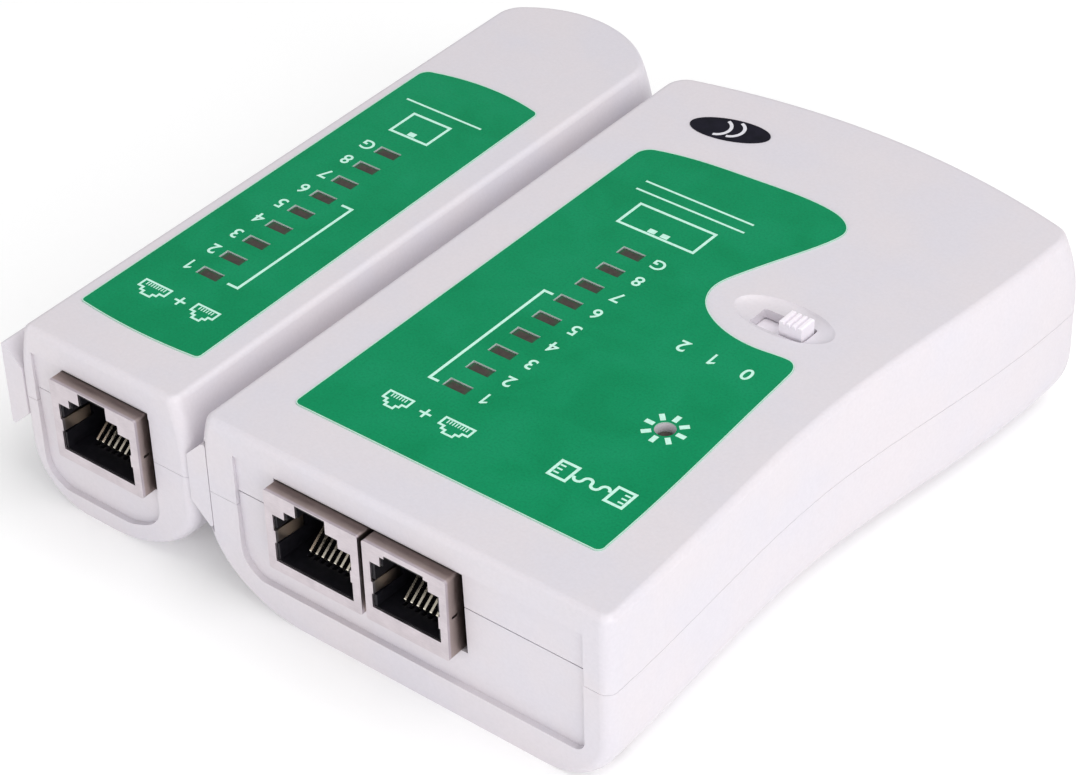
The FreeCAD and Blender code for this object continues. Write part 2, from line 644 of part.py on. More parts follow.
def contact(x, kind):
    """One flat sprung wire: a sloping contact, a bend at the mouth, a leg up to the board."""
    path = contact_path(kind)
    pieces = []
    for a, b in zip(path, path[1:]):
        run = math.hypot(b[0] - a[0], b[1] - a[1])
        ny = -(b[1] - a[1]) / run * WIRE / 2
        nz = (b[0] - a[0]) / run * WIRE / 2
        pieces.append(prism_along_x([(a[0] + ny, a[1] + nz), (b[0] + ny, b[1] + nz),
                                     (b[0] - ny, b[1] - nz), (a[0] - ny, a[1] - nz)],
                                    x - WIRE / 2, x + WIRE / 2))
    for y, z in path[1:-1]:
        pieces.append(Part.makeCylinder(WIRE / 2, WIRE, Vector(x - WIRE / 2, y, z), Vector(1, 0, 0)))
    return join(pieces)


def socket_contacts(x, kind):
    first = contact(0.0, kind)
    copies = []
    for cx in contact_places(x, kind):
        copy = first.copy()
        copy.translate(Vector(cx, 0, 0))
        copies.append(copy)
    return group(copies)


def contact_board_holes(x, kind):
    return [upright(cx, SOCKET_FRONT + 12.7, BOARD_BOTTOM - 1, BOARD_TOP + 1, 0.34)
            for cx in contact_places(x, kind)]


# ---- circuit boards and parts on them ---------------------------------------------------------
def leg_holes(x, y, spread=1.27):
    return [upright(x + s, y, BOARD_BOTTOM - 1, BOARD_TOP + 1, LEG * 0.75) for s in (-spread, spread)]


def board(x0, x1, y1, bosses, studs, holes):
    plate = box(x0, x1, FACE + WALL + 1.0, y1, BOARD_BOTTOM, BOARD_TOP)
    cuts = [upright(x, y, BOARD_BOTTOM - 1, BOARD_TOP + 1, BOSS_RADIUS + 0.3) for x, y in bosses]
    cuts += [upright(x, y, BOARD_BOTTOM - 1, BOARD_TOP + 1, SMALL_SCREW_RADIUS + 0.2)
             for x, y in studs]
    return only_solid(plate.cut(cuts + holes))


def chip(x, y, pins):
    """A dual in-line chip hanging under the board, long side along Y."""
    pitch = 2.54
    row = 3.81
    length = pins / 2 * pitch - 0.7
    top = BOARD_BOTTOM - 0.4
    body = box(x - 3.2, x + 3.2, y - length / 2, y + length / 2, top - 3.2, top)
    shapes = [body]
    for i in range(pins // 2):
        py = y + (i - (pins / 2 - 1) / 2) * pitch
        for side in (-1, 1):
            shoulder = sorted((x + side * 3.1, x + side * (row + 0.13)))
            leg = sorted((x + side * (row - 0.13), x + side * (row + 0.13)))
            shapes.append(box(shoulder[0], shoulder[1], py - 0.5, py + 0.5, top - 1.7, top - 1.4))
            shapes.append(box(leg[0], leg[1], py - 0.22, py + 0.22, top - 1.6, BOARD_TOP + 0.6))
    return join(shapes)


def chip_holes(x, y, pins):
    holes = []
    for i in range(pins // 2):
        py = y + (i - (pins / 2 - 1) / 2) * 2.54
        holes += [upright(x + side * 3.81, py, BOARD_BOTTOM - 1, BOARD_TOP + 1, 0.38) for side in (-1, 1)]
    return holes


def axial(x, y, body_radius, body_length, reach):
    """A resistor or diode lying along X under the board, its leads bent up through it."""
    z = BOARD_BOTTOM - body_radius - 0.2
    wire = 0.28
    body = Part.makeCylinder(body_radius, body_length, Vector(x - body_length / 2, y, z), Vector(1, 0, 0))
    rims = [e for e in body.Edges if e.BoundBox.XLength < 1e-4]
    body = body.makeFillet(body_radius * 0.35, rims)
    lead = Part.makeCylinder(wire, 2 * reach, Vector(x - reach, y, z), Vector(1, 0, 0))
    ends = [upright(x + side * (reach - wire), y, z - wire, BOARD_TOP + 0.5, wire) for side in (-1, 1)]
    return join([body, lead] + ends)


def axial_holes(x, y, reach):
    return [upright(x + side * (reach - 0.28), y, BOARD_BOTTOM - 1, BOARD_TOP + 1, 0.38) for side in (-1, 1)]


MASTER_RESISTOR_X = MASTER_LAMP_X - 10.4
RESISTOR_ROWS = [MASTER_LAMP_Y + 2.3 + i * 3.2 for i in range(8)]
RESISTOR = (1.15, 6.2, 4.6)
DIODE_X = REMOTE_LAMP_X + 8.2
DIODE = (0.9, 4.0, 3.8)
COUNTER_CHIP = (MASTER_LEFT + 55.2, FACE + 26.0, 16)
TIMER_CHIP = (MASTER_LEFT + 36.5, FACE + 26.5, 8)
CAPACITOR = (MASTER_LEFT + 42.5, FACE + 38.5)
CAPACITOR_RADIUS = 2.5


def capacitor():
    x, y = CAPACITOR
    can = upright(x, y, BOARD_BOTTOM - 7.2, BOARD_BOTTOM - 0.2, CAPACITOR_RADIUS)
    rims = [e for e in can.Edges if e.BoundBox.ZLength < 1e-4]
    can = can.makeFillet(0.4, rims)
    return join([can] + legs(x, y, BOARD_BOTTOM - 0.6, BOARD_TOP + 0.6))


def master_board():
    holes = switch_board_cuts()
    holes += contact_board_holes(MASTER_SOCKET_X, EIGHT_WAY)
    holes += contact_board_holes(PHONE_SOCKET_X, SIX_WAY)
    holes += chip_holes(*COUNTER_CHIP) + chip_holes(*TIMER_CHIP)
    holes += leg_holes(*CAPACITOR) + leg_holes(*POWER_LAMP, 0.75)
    for y in lamp_rows(MASTER_LAMP_Y):
        holes += leg_holes(MASTER_LAMP_X, y)
    for y in RESISTOR_ROWS:
        holes += axial_holes(MASTER_RESISTOR_X, y, RESISTOR[2])
    return board(MASTER_LEFT + 4.3, MASTER_LEFT + 60.4, FACE + 70.0, MASTER_BOSSES, MASTER_STUDS, holes)


def remote_board():
    holes = contact_board_holes(REMOTE_SOCKET_X, EIGHT_WAY)
    for y in lamp_rows(REMOTE_LAMP_Y):
        holes += leg_holes(REMOTE_LAMP_X, y)
        holes += axial_holes(DIODE_X, y, DIODE[2])
    return board(REMOTE_LEFT + 3.2, REMOTE_RIGHT - 3.2, FACE + 70.0, REMOTE_BOSSES, REMOTE_STUDS, holes)


# ---- printed labels -----------------------------------------------------------------------------
def slab_from(edges, thickness):
    return Part.Face(Part.Wire(edges)).extrude(Vector(0, 0, thickness))


def master_label():
    """Covers the lamps; its right side is scooped out round the switch."""
    z = HEIGHT
    flank = [(40.25, -42.1), (40.0, -30.0), (39.1, -14.0), (38.55, -4.0)]
    front_tip = [(38.45, -2.3), (38.25, -1.0), (37.75, -0.1), (37.0, 0.42), (36.0, 0.53)]
    bite = [(32.3, 0.15), (27.9, 0.4), (23.4, 2.1), (20.7, 4.5), (19.65, 7.6), (20.7, 12.0),
            (23.05, 17.7), (25.2, 22.7)]
    rear_tip = [(26.35, 26.2), (26.5, 28.0), (25.7, 29.5), (23.8, 30.8), (21.0, 31.5)]
    rear = [(16.5, 31.75), (10.0, 31.4), (0.5, 30.6), (-6.2, 29.1)]
    edges = [
        straight((-7.0, -43.6, z), (39.1, -43.4, z)),
        three_point((39.1, -43.4, z), (40.0, -43.05, z), (*flank[0], z)),
        smooth_through([(*p, z) for p in flank]),
        smooth_through([(*p, z) for p in flank[-1:] + front_tip + bite + rear_tip + rear]),
        three_point((*rear[-1], z), (-7.3, 28.2, z), (-7.75, 26.6, z)),
        straight((-7.75, 26.6, z), (-8.0, -42.6, z)),
        three_point((-8.0, -42.6, z), (-7.7, -43.3, z), (-7.0, -43.6, z)),
    ]
    sheet = slab_from(edges, LABEL_THICKNESS)
    cuts = lamp_windows(MASTER_LAMP_X, MASTER_LAMP_Y, 0.1)
    cuts.append(upright(*POWER_LAMP, HEIGHT - 1, HEIGHT + 1, POWER_LAMP_RADIUS + 0.1))
    return only_solid(sheet.cut(cuts))


def remote_label():
    z = HEIGHT
    edges = [
        three_point((-44.3, -44.0, z), (-33.6, -44.6, z), (-24.7, -44.1, z)),
        three_point((-24.7, -44.1, z), (-24.05, -43.8, z), (-23.85, -43.1, z)),
        straight((-23.85, -43.1, z), (-24.8, 25.8, z)),
        three_point((-24.8, 25.8, z), (-25.1, 26.6, z), (-25.9, 27.0, z)),
        three_point((-25.9, 27.0, z), (-36.0, 27.9, z), (-43.9, 26.5, z)),
        three_point((-43.9, 26.5, z), (-45.1, 25.8, z), (-45.5, 24.6, z)),
        straight((-45.5, 24.6, z), (-45.15, -43.1, z)),
        three_point((-45.15, -43.1, z), (-44.9, -43.8, z), (-44.3, -44.0, z)),
    ]
    sheet = slab_from(edges, LABEL_THICKNESS)
    return only_solid(sheet.cut(lamp_windows(REMOTE_LAMP_X, REMOTE_LAMP_Y, 0.1)))


def rear_badge():
    """A small dark oval sticker near the master's back left corner."""
    centre = Vector(*BADGE_CENTRE, HEIGHT)
    rim = Part.Ellipse(centre, *BADGE_HALF).toShape()
    badge = slab_from([rim], LABEL_THICKNESS)
    badge.rotate(centre, Vector(0, 0, 1), BADGE_TURN)
    return badge


# ---- battery, snap and door -----------------------------------------------------------------------
def terminal_places():
    middle = BATTERY_FLOOR + BATTERY[2] / 2
    return ((BATTERY_X - 6.35, middle, 2.9), (BATTERY_X + 6.35, middle, 3.9))


def battery():
    width, length, height = BATTERY
    block = box(BATTERY_X - width / 2, BATTERY_X + width / 2, BATTERY_FRONT, BATTERY_FRONT + length,
                BATTERY_FLOOR, BATTERY_FLOOR + height)
    long_edges = [e for e in block.Edges if abs(e.BoundBox.YLength - length) < 1e-6]
    block = block.makeFillet(2.0, long_edges)
    posts = [Part.makeCylinder(r, 2.3, Vector(x, BATTERY_FRONT + 0.2, z), Vector(0, -1, 0))
             for x, z, r in terminal_places()]
    return join([block] + posts)


def battery_snap():
    z = BATTERY_FLOOR + BATTERY[2] / 2
    plate = box(BATTERY_X - 12.3, BATTERY_X + 12.3, SNAP_FRONT, BATTERY_FRONT - 0.2, z - 6.2, z + 6.2)
    edges = [e for e in plate.Edges if e.BoundBox.YLength > 1]
    plate = plate.makeFillet(5.5, edges)
    cups = [Part.makeCylinder(r + 0.15, 2.3, Vector(x, BATTERY_FRONT, cz), Vector(0, -1, 0))
            for x, cz, r in terminal_places()]
    return only_solid(plate.cut(cups))


def battery_lead(x):
    """A wire out of the snap, one round bend, then straight up to the board."""
    radius = 0.7
    bend = 3.5
    z = BATTERY_FLOOR + BATTERY[2] / 2
    y = SNAP_FRONT - 1.2
    first = Part.makeCylinder(radius, 1.2, Vector(x, SNAP_FRONT, z), Vector(0, -1, 0))
    start = Part.Face(Part.Wire([Part.makeCircle(radius, Vector(x, y, z), Vector(0, 1, 0))]))
    turn = start.revolve(Vector(x, y, z + bend), Vector(-1, 0, 0), 90)
    rise = upright(x, y - bend, z + bend, BOARD_BOTTOM, radius)
    return join([first, turn, rise])


def door_plan(play):
    return (BATTERY_X - DOOR_WIDTH / 2 - play, BATTERY_X + DOOR_WIDTH / 2 + play)


def battery_door(outer):
    x0, x1 = door_plan(0.0)
    panel = outer.common(box(x0, x1, DOOR_FRONT, MASTER_BACK + 2, -1, DOOR_THICKNESS))
    tongue_end = FACE + 96.0
    tongues = [box(x0 - DOOR_TONGUE, x0 + 1, DOOR_FRONT + 4, tongue_end, TONGUE_BOTTOM, TONGUE_TOP),
               box(x1 - 1, x1 + DOOR_TONGUE, DOOR_FRONT + 4, tongue_end, TONGUE_BOTTOM, TONGUE_TOP),
               box(BATTERY_X - 5, BATTERY_X + 5, DOOR_FRONT - 1.4, DOOR_FRONT + 1,
                   TONGUE_BOTTOM, TONGUE_TOP)]
    ridges = [box(BATTERY_X - 7, BATTERY_X + 7, DOOR_FRONT + 4 + 2 * i, DOOR_FRONT + 5 + 2 * i, -1, 0.35)
              for i in range(6)]
    return only_solid(merge([panel] + tongues).cut(ridges))


def door_cuts():
    x0, x1 = door_plan(DOOR_PLAY)
    top = TONGUE_TOP + 0.15
    bottom = TONGUE_BOTTOM - 0.15
    inner_back = MASTER_BACK - 7.2
    return [box(x0, x1, DOOR_FRONT - DOOR_PLAY, inner_back, -1, WALL + 1),
            box(x0, x1, inner_back - 1, MASTER_BACK + 5, -1, DOOR_THICKNESS + DOOR_PLAY),
            box(x0 - DOOR_TONGUE, x1 + DOOR_TONGUE, DOOR_FRONT + 3.5, MASTER_BACK + 5, bottom, top),
            box(BATTERY_X - 5.3, BATTERY_X + 5.3, DOOR_FRONT - 1.8, DOOR_FRONT, bottom, top)]


def battery_bay(outer):
    """Ribs that stand on the floor beside and in front of the battery."""
    x0, x1 = door_plan(DOOR_PLAY + 0.4)
    top = 13.0
    y0 = DOOR_FRONT - 3.4
    y1 = FACE + 92.0
    ribs = [box(x0 - 1.2, x0, y0, y1, 0, top), box(x1, x1 + 1.2, y0, y1, 0, top),
            box(x0 - 1.2, BATTERY_X - 4.5, y0, y0 + 1.2, 0, top),
            box(BATTERY_X + 4.5, x1 + 1.2, y0, y0 + 1.2, 0, top)]
    return [rib.common(outer) for rib in ribs]


# ---- screws -----------------------------------------------------------------------------------------
def case_screws(places):
    screws = []
    for x, y in places:
        head = upright(x, y, HEAD_SEAT - 1.7, HEAD_SEAT, HEAD_RADIUS)
        rim = [e for e in head.Edges if e.BoundBox.ZMax < HEAD_SEAT - 1.6]
        head = head.makeFillet(0.6, rim)
        shank = upright(x, y, HEAD_SEAT - 0.2, SCREW_TOP, SCREW_RADIUS)
        screw = join([head, shank])
        slots = [box(x - 1.3, x + 1.3, y - 0.3, y + 0.3, 0, HEAD_SEAT - 0.8),
                 box(x - 0.3, x + 0.3, y - 1.3, y + 1.3, 0, HEAD_SEAT - 0.8)]
        screws.append(only_solid(screw.cut(slots)))
    return group(screws)


def board_screws(places):
    screws = []
    for x, y in places:
        head = upright(x, y, BOARD_BOTTOM - 1.1, BOARD_BOTTOM, SMALL_HEAD_RADIUS)
        shank = upright(x, y, BOARD_BOTTOM - 0.2, HEIGHT - 1.1, SMALL_SCREW_RADIUS)
        screws.append(join([head, shank]).cut(box(x - 1.2, x + 1.2, y - 0.25, y + 0.25,
                                                  BOARD_BOTTOM - 2, BOARD_BOTTOM - 0.7)))
    return group(screws)


# ---- complete shells ----------------------------------------------------------------------------------
# left and right edges, bottom, then run and rise of the lower corners
MASTER_RECESS = (MASTER_LEFT + 6.3, MASTER_LEFT + 61.5, 5.0, (4.0, 4.5), (1.8, 1.8))
REMOTE_RECESS = (REMOTE_LEFT + 2.5, REMOTE_LEFT + 23.65, 2.6, (4.5, 4.0), (8.0, 5.5))
MASTER_OPENING = (MASTER_SOCKET_X - EIGHT_WAY["width"] / 2 - 0.2,
                  PHONE_SOCKET_X + SIX_WAY["width"] / 2 + 0.8)
REMOTE_OPENING = (REMOTE_SOCKET_X - EIGHT_WAY["width"] / 2 - 0.2,
                  REMOTE_SOCKET_X + EIGHT_WAY["width"] / 2 + 0.8)


def master_shells(outer):
    hollow = hollow_solid(MASTER, WALL)
    solid = outer.cut(hollow.cut(groove_backing())).cut(groove())
    opening = box(*MASTER_OPENING, FACE - 1, FACE + WALL + 1, OPENING_BOTTOM, OPENING_TOP)
    solid = solid.cut([end_recess(MASTER_RECESS), opening])
    groove_end = FACE + RAIL_LENGTH + WALL + 1
    backing_x = REMOTE_RIGHT + RAIL_DEPTH + GROOVE_FLOOR_PLAY + GROOVE_BACKING
    spans = [(backing_x + 0.5, MASTER_RIGHT + 5, FACE + 3.2, MASTER_BACK + 5),
             (MASTER_LEFT - 5, MASTER_RIGHT + 5, groove_end, MASTER_BACK + 5)]
    lower, upper = split_shells(MASTER, solid, hollow, MASTER_RECESS, (), spans)
    lower = merge([lower] + lower_bosses(outer, MASTER_BOSSES) + battery_bay(outer))
    upper = merge([upper] + upper_bosses(MASTER_BOSSES, MASTER_STUDS))
    lower = lower.cut(boss_holes(MASTER_BOSSES) + door_cuts())
    windows = lamp_windows(MASTER_LAMP_X, MASTER_LAMP_Y, 0.15)
    windows.append(upright(*POWER_LAMP, BOARD_TOP, HEIGHT + 1, POWER_LAMP_RADIUS + 0.15))
    windows += [switch_dish(), switch_slot()] + stud_holes(MASTER_STUDS)
    upper = upper.cut(boss_holes(MASTER_BOSSES) + windows)
    return only_solid(lower), only_solid(upper)


def remote_shells(outer):
    hollow = hollow_solid(REMOTE, WALL)
    opening = rounded_slab(*REMOTE_OPENING, FACE - 1, FACE + WALL + 1, OPENING_BOTTOM, OPENING_TOP, 0.8)
    solid = outer.cut(hollow).cut([end_recess(REMOTE_RECESS), opening])
    reach = WALL + 0.4
    raised = ((REMOTE_LEFT - 1, REMOTE_LEFT + reach), (REMOTE_RIGHT - reach, REMOTE_RIGHT + 1))
    spans = [(REMOTE_LEFT - 5, REMOTE_RIGHT + 5, FACE + RAIL_LENGTH + 1, REMOTE_BACK + 5)]
    lower, upper = split_shells(REMOTE, solid, hollow, REMOTE_RECESS, raised, spans)
    lower = merge([lower] + lower_bosses(outer, REMOTE_BOSSES) + rails())
    upper = merge([upper.cut(rails())] + upper_bosses(REMOTE_BOSSES, REMOTE_STUDS))
    lower = lower.cut(boss_holes(REMOTE_BOSSES))
    windows = lamp_windows(REMOTE_LAMP_X, REMOTE_LAMP_Y, 0.15) + stud_holes(REMOTE_STUDS)
    upper = upper.cut(boss_holes(REMOTE_BOSSES) + windows)
    return only_solid(lower), only_solid(upper)


# ---- everything, one node each --------------------------------------------------------------------------
def build():
    master_outer = housing_solid(MASTER)
    remote_outer = housing_solid(REMOTE)
    nodes = {}
    nodes["master_bottom_shell"], nodes["master_top_shell"] = master_shells(master_outer)
    nodes["remote_bottom_shell"], nodes["remote_top_shell"] = remote_shells(remote_outer)
    nodes["battery_door"] = battery_door(master_outer)
    nodes["master_label"] = master_label()
    nodes["remote_label"] = remote_label()
    nodes["rear_badge"] = rear_badge()
    nodes["master_circuit_board"] = master_board()
    nodes["remote_circuit_board"] = remote_board()
    nodes["master_line_lamps"] = group([lamp(MASTER_LAMP_X, y) for y in lamp_rows(MASTER_LAMP_Y)])
    nodes["remote_line_lamps"] = group([lamp(REMOTE_LAMP_X, y) for y in lamp_rows(REMOTE_LAMP_Y)])
    nodes["power_lamp"] = power_lamp()
    nodes["switch_knob"] = switch_knob()
    nodes["switch_case"] = switch_case()
    for name, x, kind in (("master_socket", MASTER_SOCKET_X, EIGHT_WAY),
                          ("phone_socket", PHONE_SOCKET_X, SIX_WAY),
                          ("remote_socket", REMOTE_SOCKET_X, EIGHT_WAY)):
        nodes[name + "_shield"] = socket_shield(x, kind)
        nodes[name + "_insert"] = socket_insert(x, kind)
        nodes[name + "_contacts"] = socket_contacts(x, kind)
    nodes["counter_chip"] = chip(*COUNTER_CHIP)
    nodes["timer_chip"] = chip(*TIMER_CHIP)
    nodes["master_resistors"] = group([axial(MASTER_RESISTOR_X, y, *RESISTOR) for y in RESISTOR_ROWS])
    nodes["remote_diodes"] = group([axial(DIODE_X, y, *DIODE) for y in lamp_rows(REMOTE_LAMP_Y)])
    nodes["timing_capacitor"] = capacitor()
    nodes["battery"] = battery()
    nodes["battery_snap"] = battery_snap()
    nodes["battery_lead_positive"] = battery_lead(BATTERY_X + 3.0)
    nodes["battery_lead_negative"] = battery_lead(BATTERY_X - 3.0)
    nodes["master_case_screws"] = case_screws(MASTER_BOSSES)
    nodes["remote_case_screws"] = case_screws(REMOTE_BOSSES)
    nodes["master_board_screws"] = board_screws(MASTER_STUDS)
    nodes["remote_board_screws"] = board_screws(REMOTE_STUDS)
    return nodes


def main():
    os.makedirs("parts", exist_ok=True)
    for name, shape in build().items():
        shape.exportStep(f"parts/{name}.step")
        print(name, "solids", len(shape.Solids), "valid", shape.isValid(), "mm3", round(shape.Volume, 1))


main()
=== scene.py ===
import math

import bmesh
import bpy
from mathutils import Euler, Matrix, Vector


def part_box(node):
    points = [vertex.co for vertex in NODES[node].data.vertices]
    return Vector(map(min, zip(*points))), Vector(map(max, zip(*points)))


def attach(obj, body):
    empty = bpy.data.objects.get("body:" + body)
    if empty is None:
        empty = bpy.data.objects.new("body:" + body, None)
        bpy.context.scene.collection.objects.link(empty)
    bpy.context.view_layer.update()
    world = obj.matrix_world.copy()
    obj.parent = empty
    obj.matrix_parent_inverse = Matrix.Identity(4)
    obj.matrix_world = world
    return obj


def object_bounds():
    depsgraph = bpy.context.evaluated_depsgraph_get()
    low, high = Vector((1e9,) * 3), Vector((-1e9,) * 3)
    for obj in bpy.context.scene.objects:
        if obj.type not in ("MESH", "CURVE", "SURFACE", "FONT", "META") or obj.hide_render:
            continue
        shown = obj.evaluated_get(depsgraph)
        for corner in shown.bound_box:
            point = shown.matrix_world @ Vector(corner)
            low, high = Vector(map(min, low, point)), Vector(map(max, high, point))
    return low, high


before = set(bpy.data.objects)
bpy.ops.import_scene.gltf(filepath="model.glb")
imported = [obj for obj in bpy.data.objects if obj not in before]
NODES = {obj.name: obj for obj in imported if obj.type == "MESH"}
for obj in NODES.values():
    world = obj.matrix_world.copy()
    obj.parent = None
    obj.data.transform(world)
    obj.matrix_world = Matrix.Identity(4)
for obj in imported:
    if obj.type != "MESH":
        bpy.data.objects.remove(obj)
CAD_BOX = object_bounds()

MM = 0.001
INK = 0.03 * MM              # thickness of the printing on the labels
LINE = 0.42 * MM             # the wider printed lines
THIN_LINE = 0.34 * MM        # rules and plus signs
SIGN_RISE = 8.2 * MM         # socket signs, from the label's edge at the sockets
UNIT_SIGN_HEIGHT = 5.2 * MM
LAMP_DIGIT = 2.15 * MM       # height of the figures beside the lamps
SWITCH_DIGIT = 2.3 * MM
LAMP_COUNT = 9               # line lamps in a row
LAMP_HALF = 0.8 * MM         # half the width of one line lamp, along its row

# ---- camera: where it stands round the object, and its lens on a 36 mm wide sensor ----------------
CAMERA_PLACE = Vector((213.4, -262.6, 266.9)) * MM
CAMERA_TURN = (52.5025, 1.4034, 38.5189)
CAMERA_LENS = 104.35
FLOOR_SIZE = 6.0             # width of the floor sheet, metres
# ---- studio light: the sky's strength, and each soft box in watts ----------------------------------
WORLD_LIGHT = 0.47
KEY_LIGHT = 3.4
FRONT_LIGHT = 2.1
TOP_LIGHT = 4.8


# ==== material building ==============================================================================
class Surface:
    """One procedural material: a Principled shader with short calls for the nodes that feed it."""

    def __init__(self, name, colour, roughness, metallic=0.0, specular=0.5):
        self.material = bpy.data.materials.new(name)
        self.material.use_nodes = True
        self.tree = self.material.node_tree
        self.shader = self.tree.nodes["Principled BSDF"]
        self.shader.inputs["Base Color"].default_value = (*colour, 1)
        self.shader.inputs["Roughness"].default_value = roughness
        self.shader.inputs["Metallic"].default_value = metallic
        self.shader.inputs["Specular IOR Level"].default_value = specular
        self.place = self.node("ShaderNodeTexCoord").outputs["Object"]

    def node(self, kind, **settings):
        node = self.tree.nodes.new(kind)
        for key, value in settings.items():
            setattr(node, key, value)
        return node

    def link(self, source, target):
        self.tree.links.new(source, target)

    def stretched(self, stretch):
        """The place on the object with each axis scaled, for grain that runs one way."""
        mapping = self.node("ShaderNodeMapping")
        mapping.inputs["Scale"].default_value = stretch
        self.link(self.place, mapping.inputs["Vector"])
        return mapping.outputs["Vector"]

    def noise(self, size_mm, detail=3.0, stretch=None, distortion=0.0):
        node = self.node("ShaderNodeTexNoise")
        node.inputs["Scale"].default_value = 1 / (size_mm * MM)
        node.inputs["Detail"].default_value = detail
        node.inputs["Distortion"].default_value = distortion
        self.link(self.stretched(stretch) if stretch else self.place, node.inputs["Vector"])
        return node.outputs["Fac"]

    def cells(self, size_mm):
        node = self.node("ShaderNodeTexVoronoi")
        node.inputs["Scale"].default_value = 1 / (size_mm * MM)
        self.link(self.place, node.inputs["Vector"])
        return node.outputs["Distance"]

    def axis(self, letter):
        split = self.node("ShaderNodeSeparateXYZ")
        self.link(self.place, split.inputs["Vector"])
        return split.outputs[letter]

    def ramp(self, value, stops, interpolation="LINEAR"):
        """Maps a value through a list of (position, colour or grey)."""
        node = self.node("ShaderNodeValToRGB")
        band = node.color_ramp
        band.interpolation = interpolation
        while len(band.elements) < len(stops):
            band.elements.new(0.5)
        for element, (position, shade) in zip(band.elements, stops):
            element.position = position
            grey = isinstance(shade, (int, float))
            element.color = (shade, shade, shade, 1) if grey else (*shade, 1)
        self.link(value, node.inputs["Fac"])
        return node.outputs["Color"]

    def span(self, value, low, high, out_low=0.0, out_high=1.0):
        """Linear map of a value from one range to another, clamped."""
        node = self.node("ShaderNodeMapRange")
        node.inputs["From Min"].default_value = low
        node.inputs["From Max"].default_value = high
        node.inputs["To Min"].default_value = out_low
        node.inputs["To Max"].default_value = out_high
        self.link(value, node.inputs["Value"])
        return node.outputs["Result"]

    def math(self, operation, a, b=0.0):
        node = self.node("ShaderNodeMath", operation=operation)
        for socket, value in zip(node.inputs, (a, b)):
            if isinstance(value, (int, float)):
                socket.default_value = value
            else:
                self.link(value, socket)
        return node.outputs["Value"]

    def mix(self, factor, a, b, blend="MIX"):
        node = self.node("ShaderNodeMix", data_type="RGBA", blend_type=blend)
        sockets = (node.inputs[0], node.inputs[6], node.inputs[7])
        for socket, value in zip(sockets, (factor, a, b)):
            if isinstance(value, (int, float)):
                socket.default_value = value
            elif isinstance(value, tuple):
                socket.default_value = (*value, 1)
            else:
                self.link(value, socket)
        return node.outputs[2]

    def set(self, socket, value):
        self.link(value, self.shader.inputs[socket])

    def bumps(self, *layers):
        """Stacks bump maps; each layer is (height, depth in millimetres, strength)."""
        normal = None
        for height, depth_mm, strength in layers:
            node = self.node("ShaderNodeBump")
            node.inputs["Distance"].default_value = depth_mm * MM
            node.inputs["Strength"].default_value = strength
            self.link(height, node.inputs["Height"])
            if normal is not None:
                self.link(normal, node.inputs["Normal"])
            normal = node.outputs["Normal"]
        self.link(normal, self.shader.inputs["Normal"])


# ==== materials ======================================================================================
def housing_plastic(name, tint=1.0):
    """Off-white ABS with a fine spark-eroded grain and very faint warm and cool clouding."""
    base, warm, cool = (tuple(c * tint for c in shade) for shade in
                        ((0.665, 0.628, 0.668), (0.675, 0.632, 0.666), (0.655, 0.625, 0.675)))
    s = Surface(name, base, 0.42)
    clouds = s.ramp(s.noise(14.0, 3.0), [(0.38, cool), (0.5, base), (0.64, warm)])
    specks = s.ramp(s.noise(0.45, 2.0), [(0.3, 0.965), (0.7, 1.0)])
    s.set("Base Color", s.mix(1.0, clouds, specks, "MULTIPLY"))
    s.set("Roughness", s.span(s.noise(1.6, 4.0), 0.3, 0.7, 0.38, 0.5))
    s.shader.inputs["Subsurface Weight"].default_value = 0.06
    s.shader.inputs["Subsurface Radius"].default_value = (0.0012, 0.001, 0.0009)
    s.bumps((s.noise(0.22, 3.0), 0.02, 0.35), (s.noise(16.0, 1.0), 0.06, 0.2))
    return s.material


def label_film(name):
    """Printed green film: satin lacquer with a light orange peel over the ink."""
    deep = (0.001, 0.236, 0.092)
    plain = (0.002, 0.252, 0.101)
    light = (0.004, 0.262, 0.110)
    s = Surface(name, plain, 0.38, specular=0.10)
    clouds = s.ramp(s.noise(8.0, 4.0, distortion=0.4), [(0.36, deep), (0.5, plain), (0.66, light)])
    grain = s.ramp(s.noise(0.32, 2.0), [(0.3, (0.75, 0.82, 0.80)), (0.5, 0.93), (0.7, (1.0, 1.0, 0.94))])
    facing = s.node("ShaderNodeSeparateXYZ")
    s.link(s.node("ShaderNodeNewGeometry").outputs["Normal"], facing.inputs["Vector"])
    top = s.math("GREATER_THAN", facing.outputs["Z"], 0.5)
    s.set("Base Color", s.mix(top, (0.42, 0.62, 0.52), s.mix(1.0, clouds, grain, "MULTIPLY")))
    s.set("Roughness", s.span(s.noise(2.2, 3.0), 0.3, 0.7, 0.34, 0.46))
    s.bumps((s.noise(0.7, 2.0), 0.012, 0.3), (s.cells(3.0), 0.01, 0.1))
    return s.material


def ink(name, colour):
    """Screen-printed ink: slightly thin in places, with a matt face."""
    thin = tuple(c * 0.86 for c in colour)
    s = Surface(name, colour, 0.4)
    s.set("Base Color", s.ramp(s.noise(0.35, 3.0), [(0.3, thin), (0.6, colour)]))
    s.set("Roughness", s.span(s.noise(0.6, 2.0), 0.3, 0.7, 0.34, 0.5))
    s.bumps((s.noise(0.15, 2.0), 0.006, 0.4),)
    return s.material


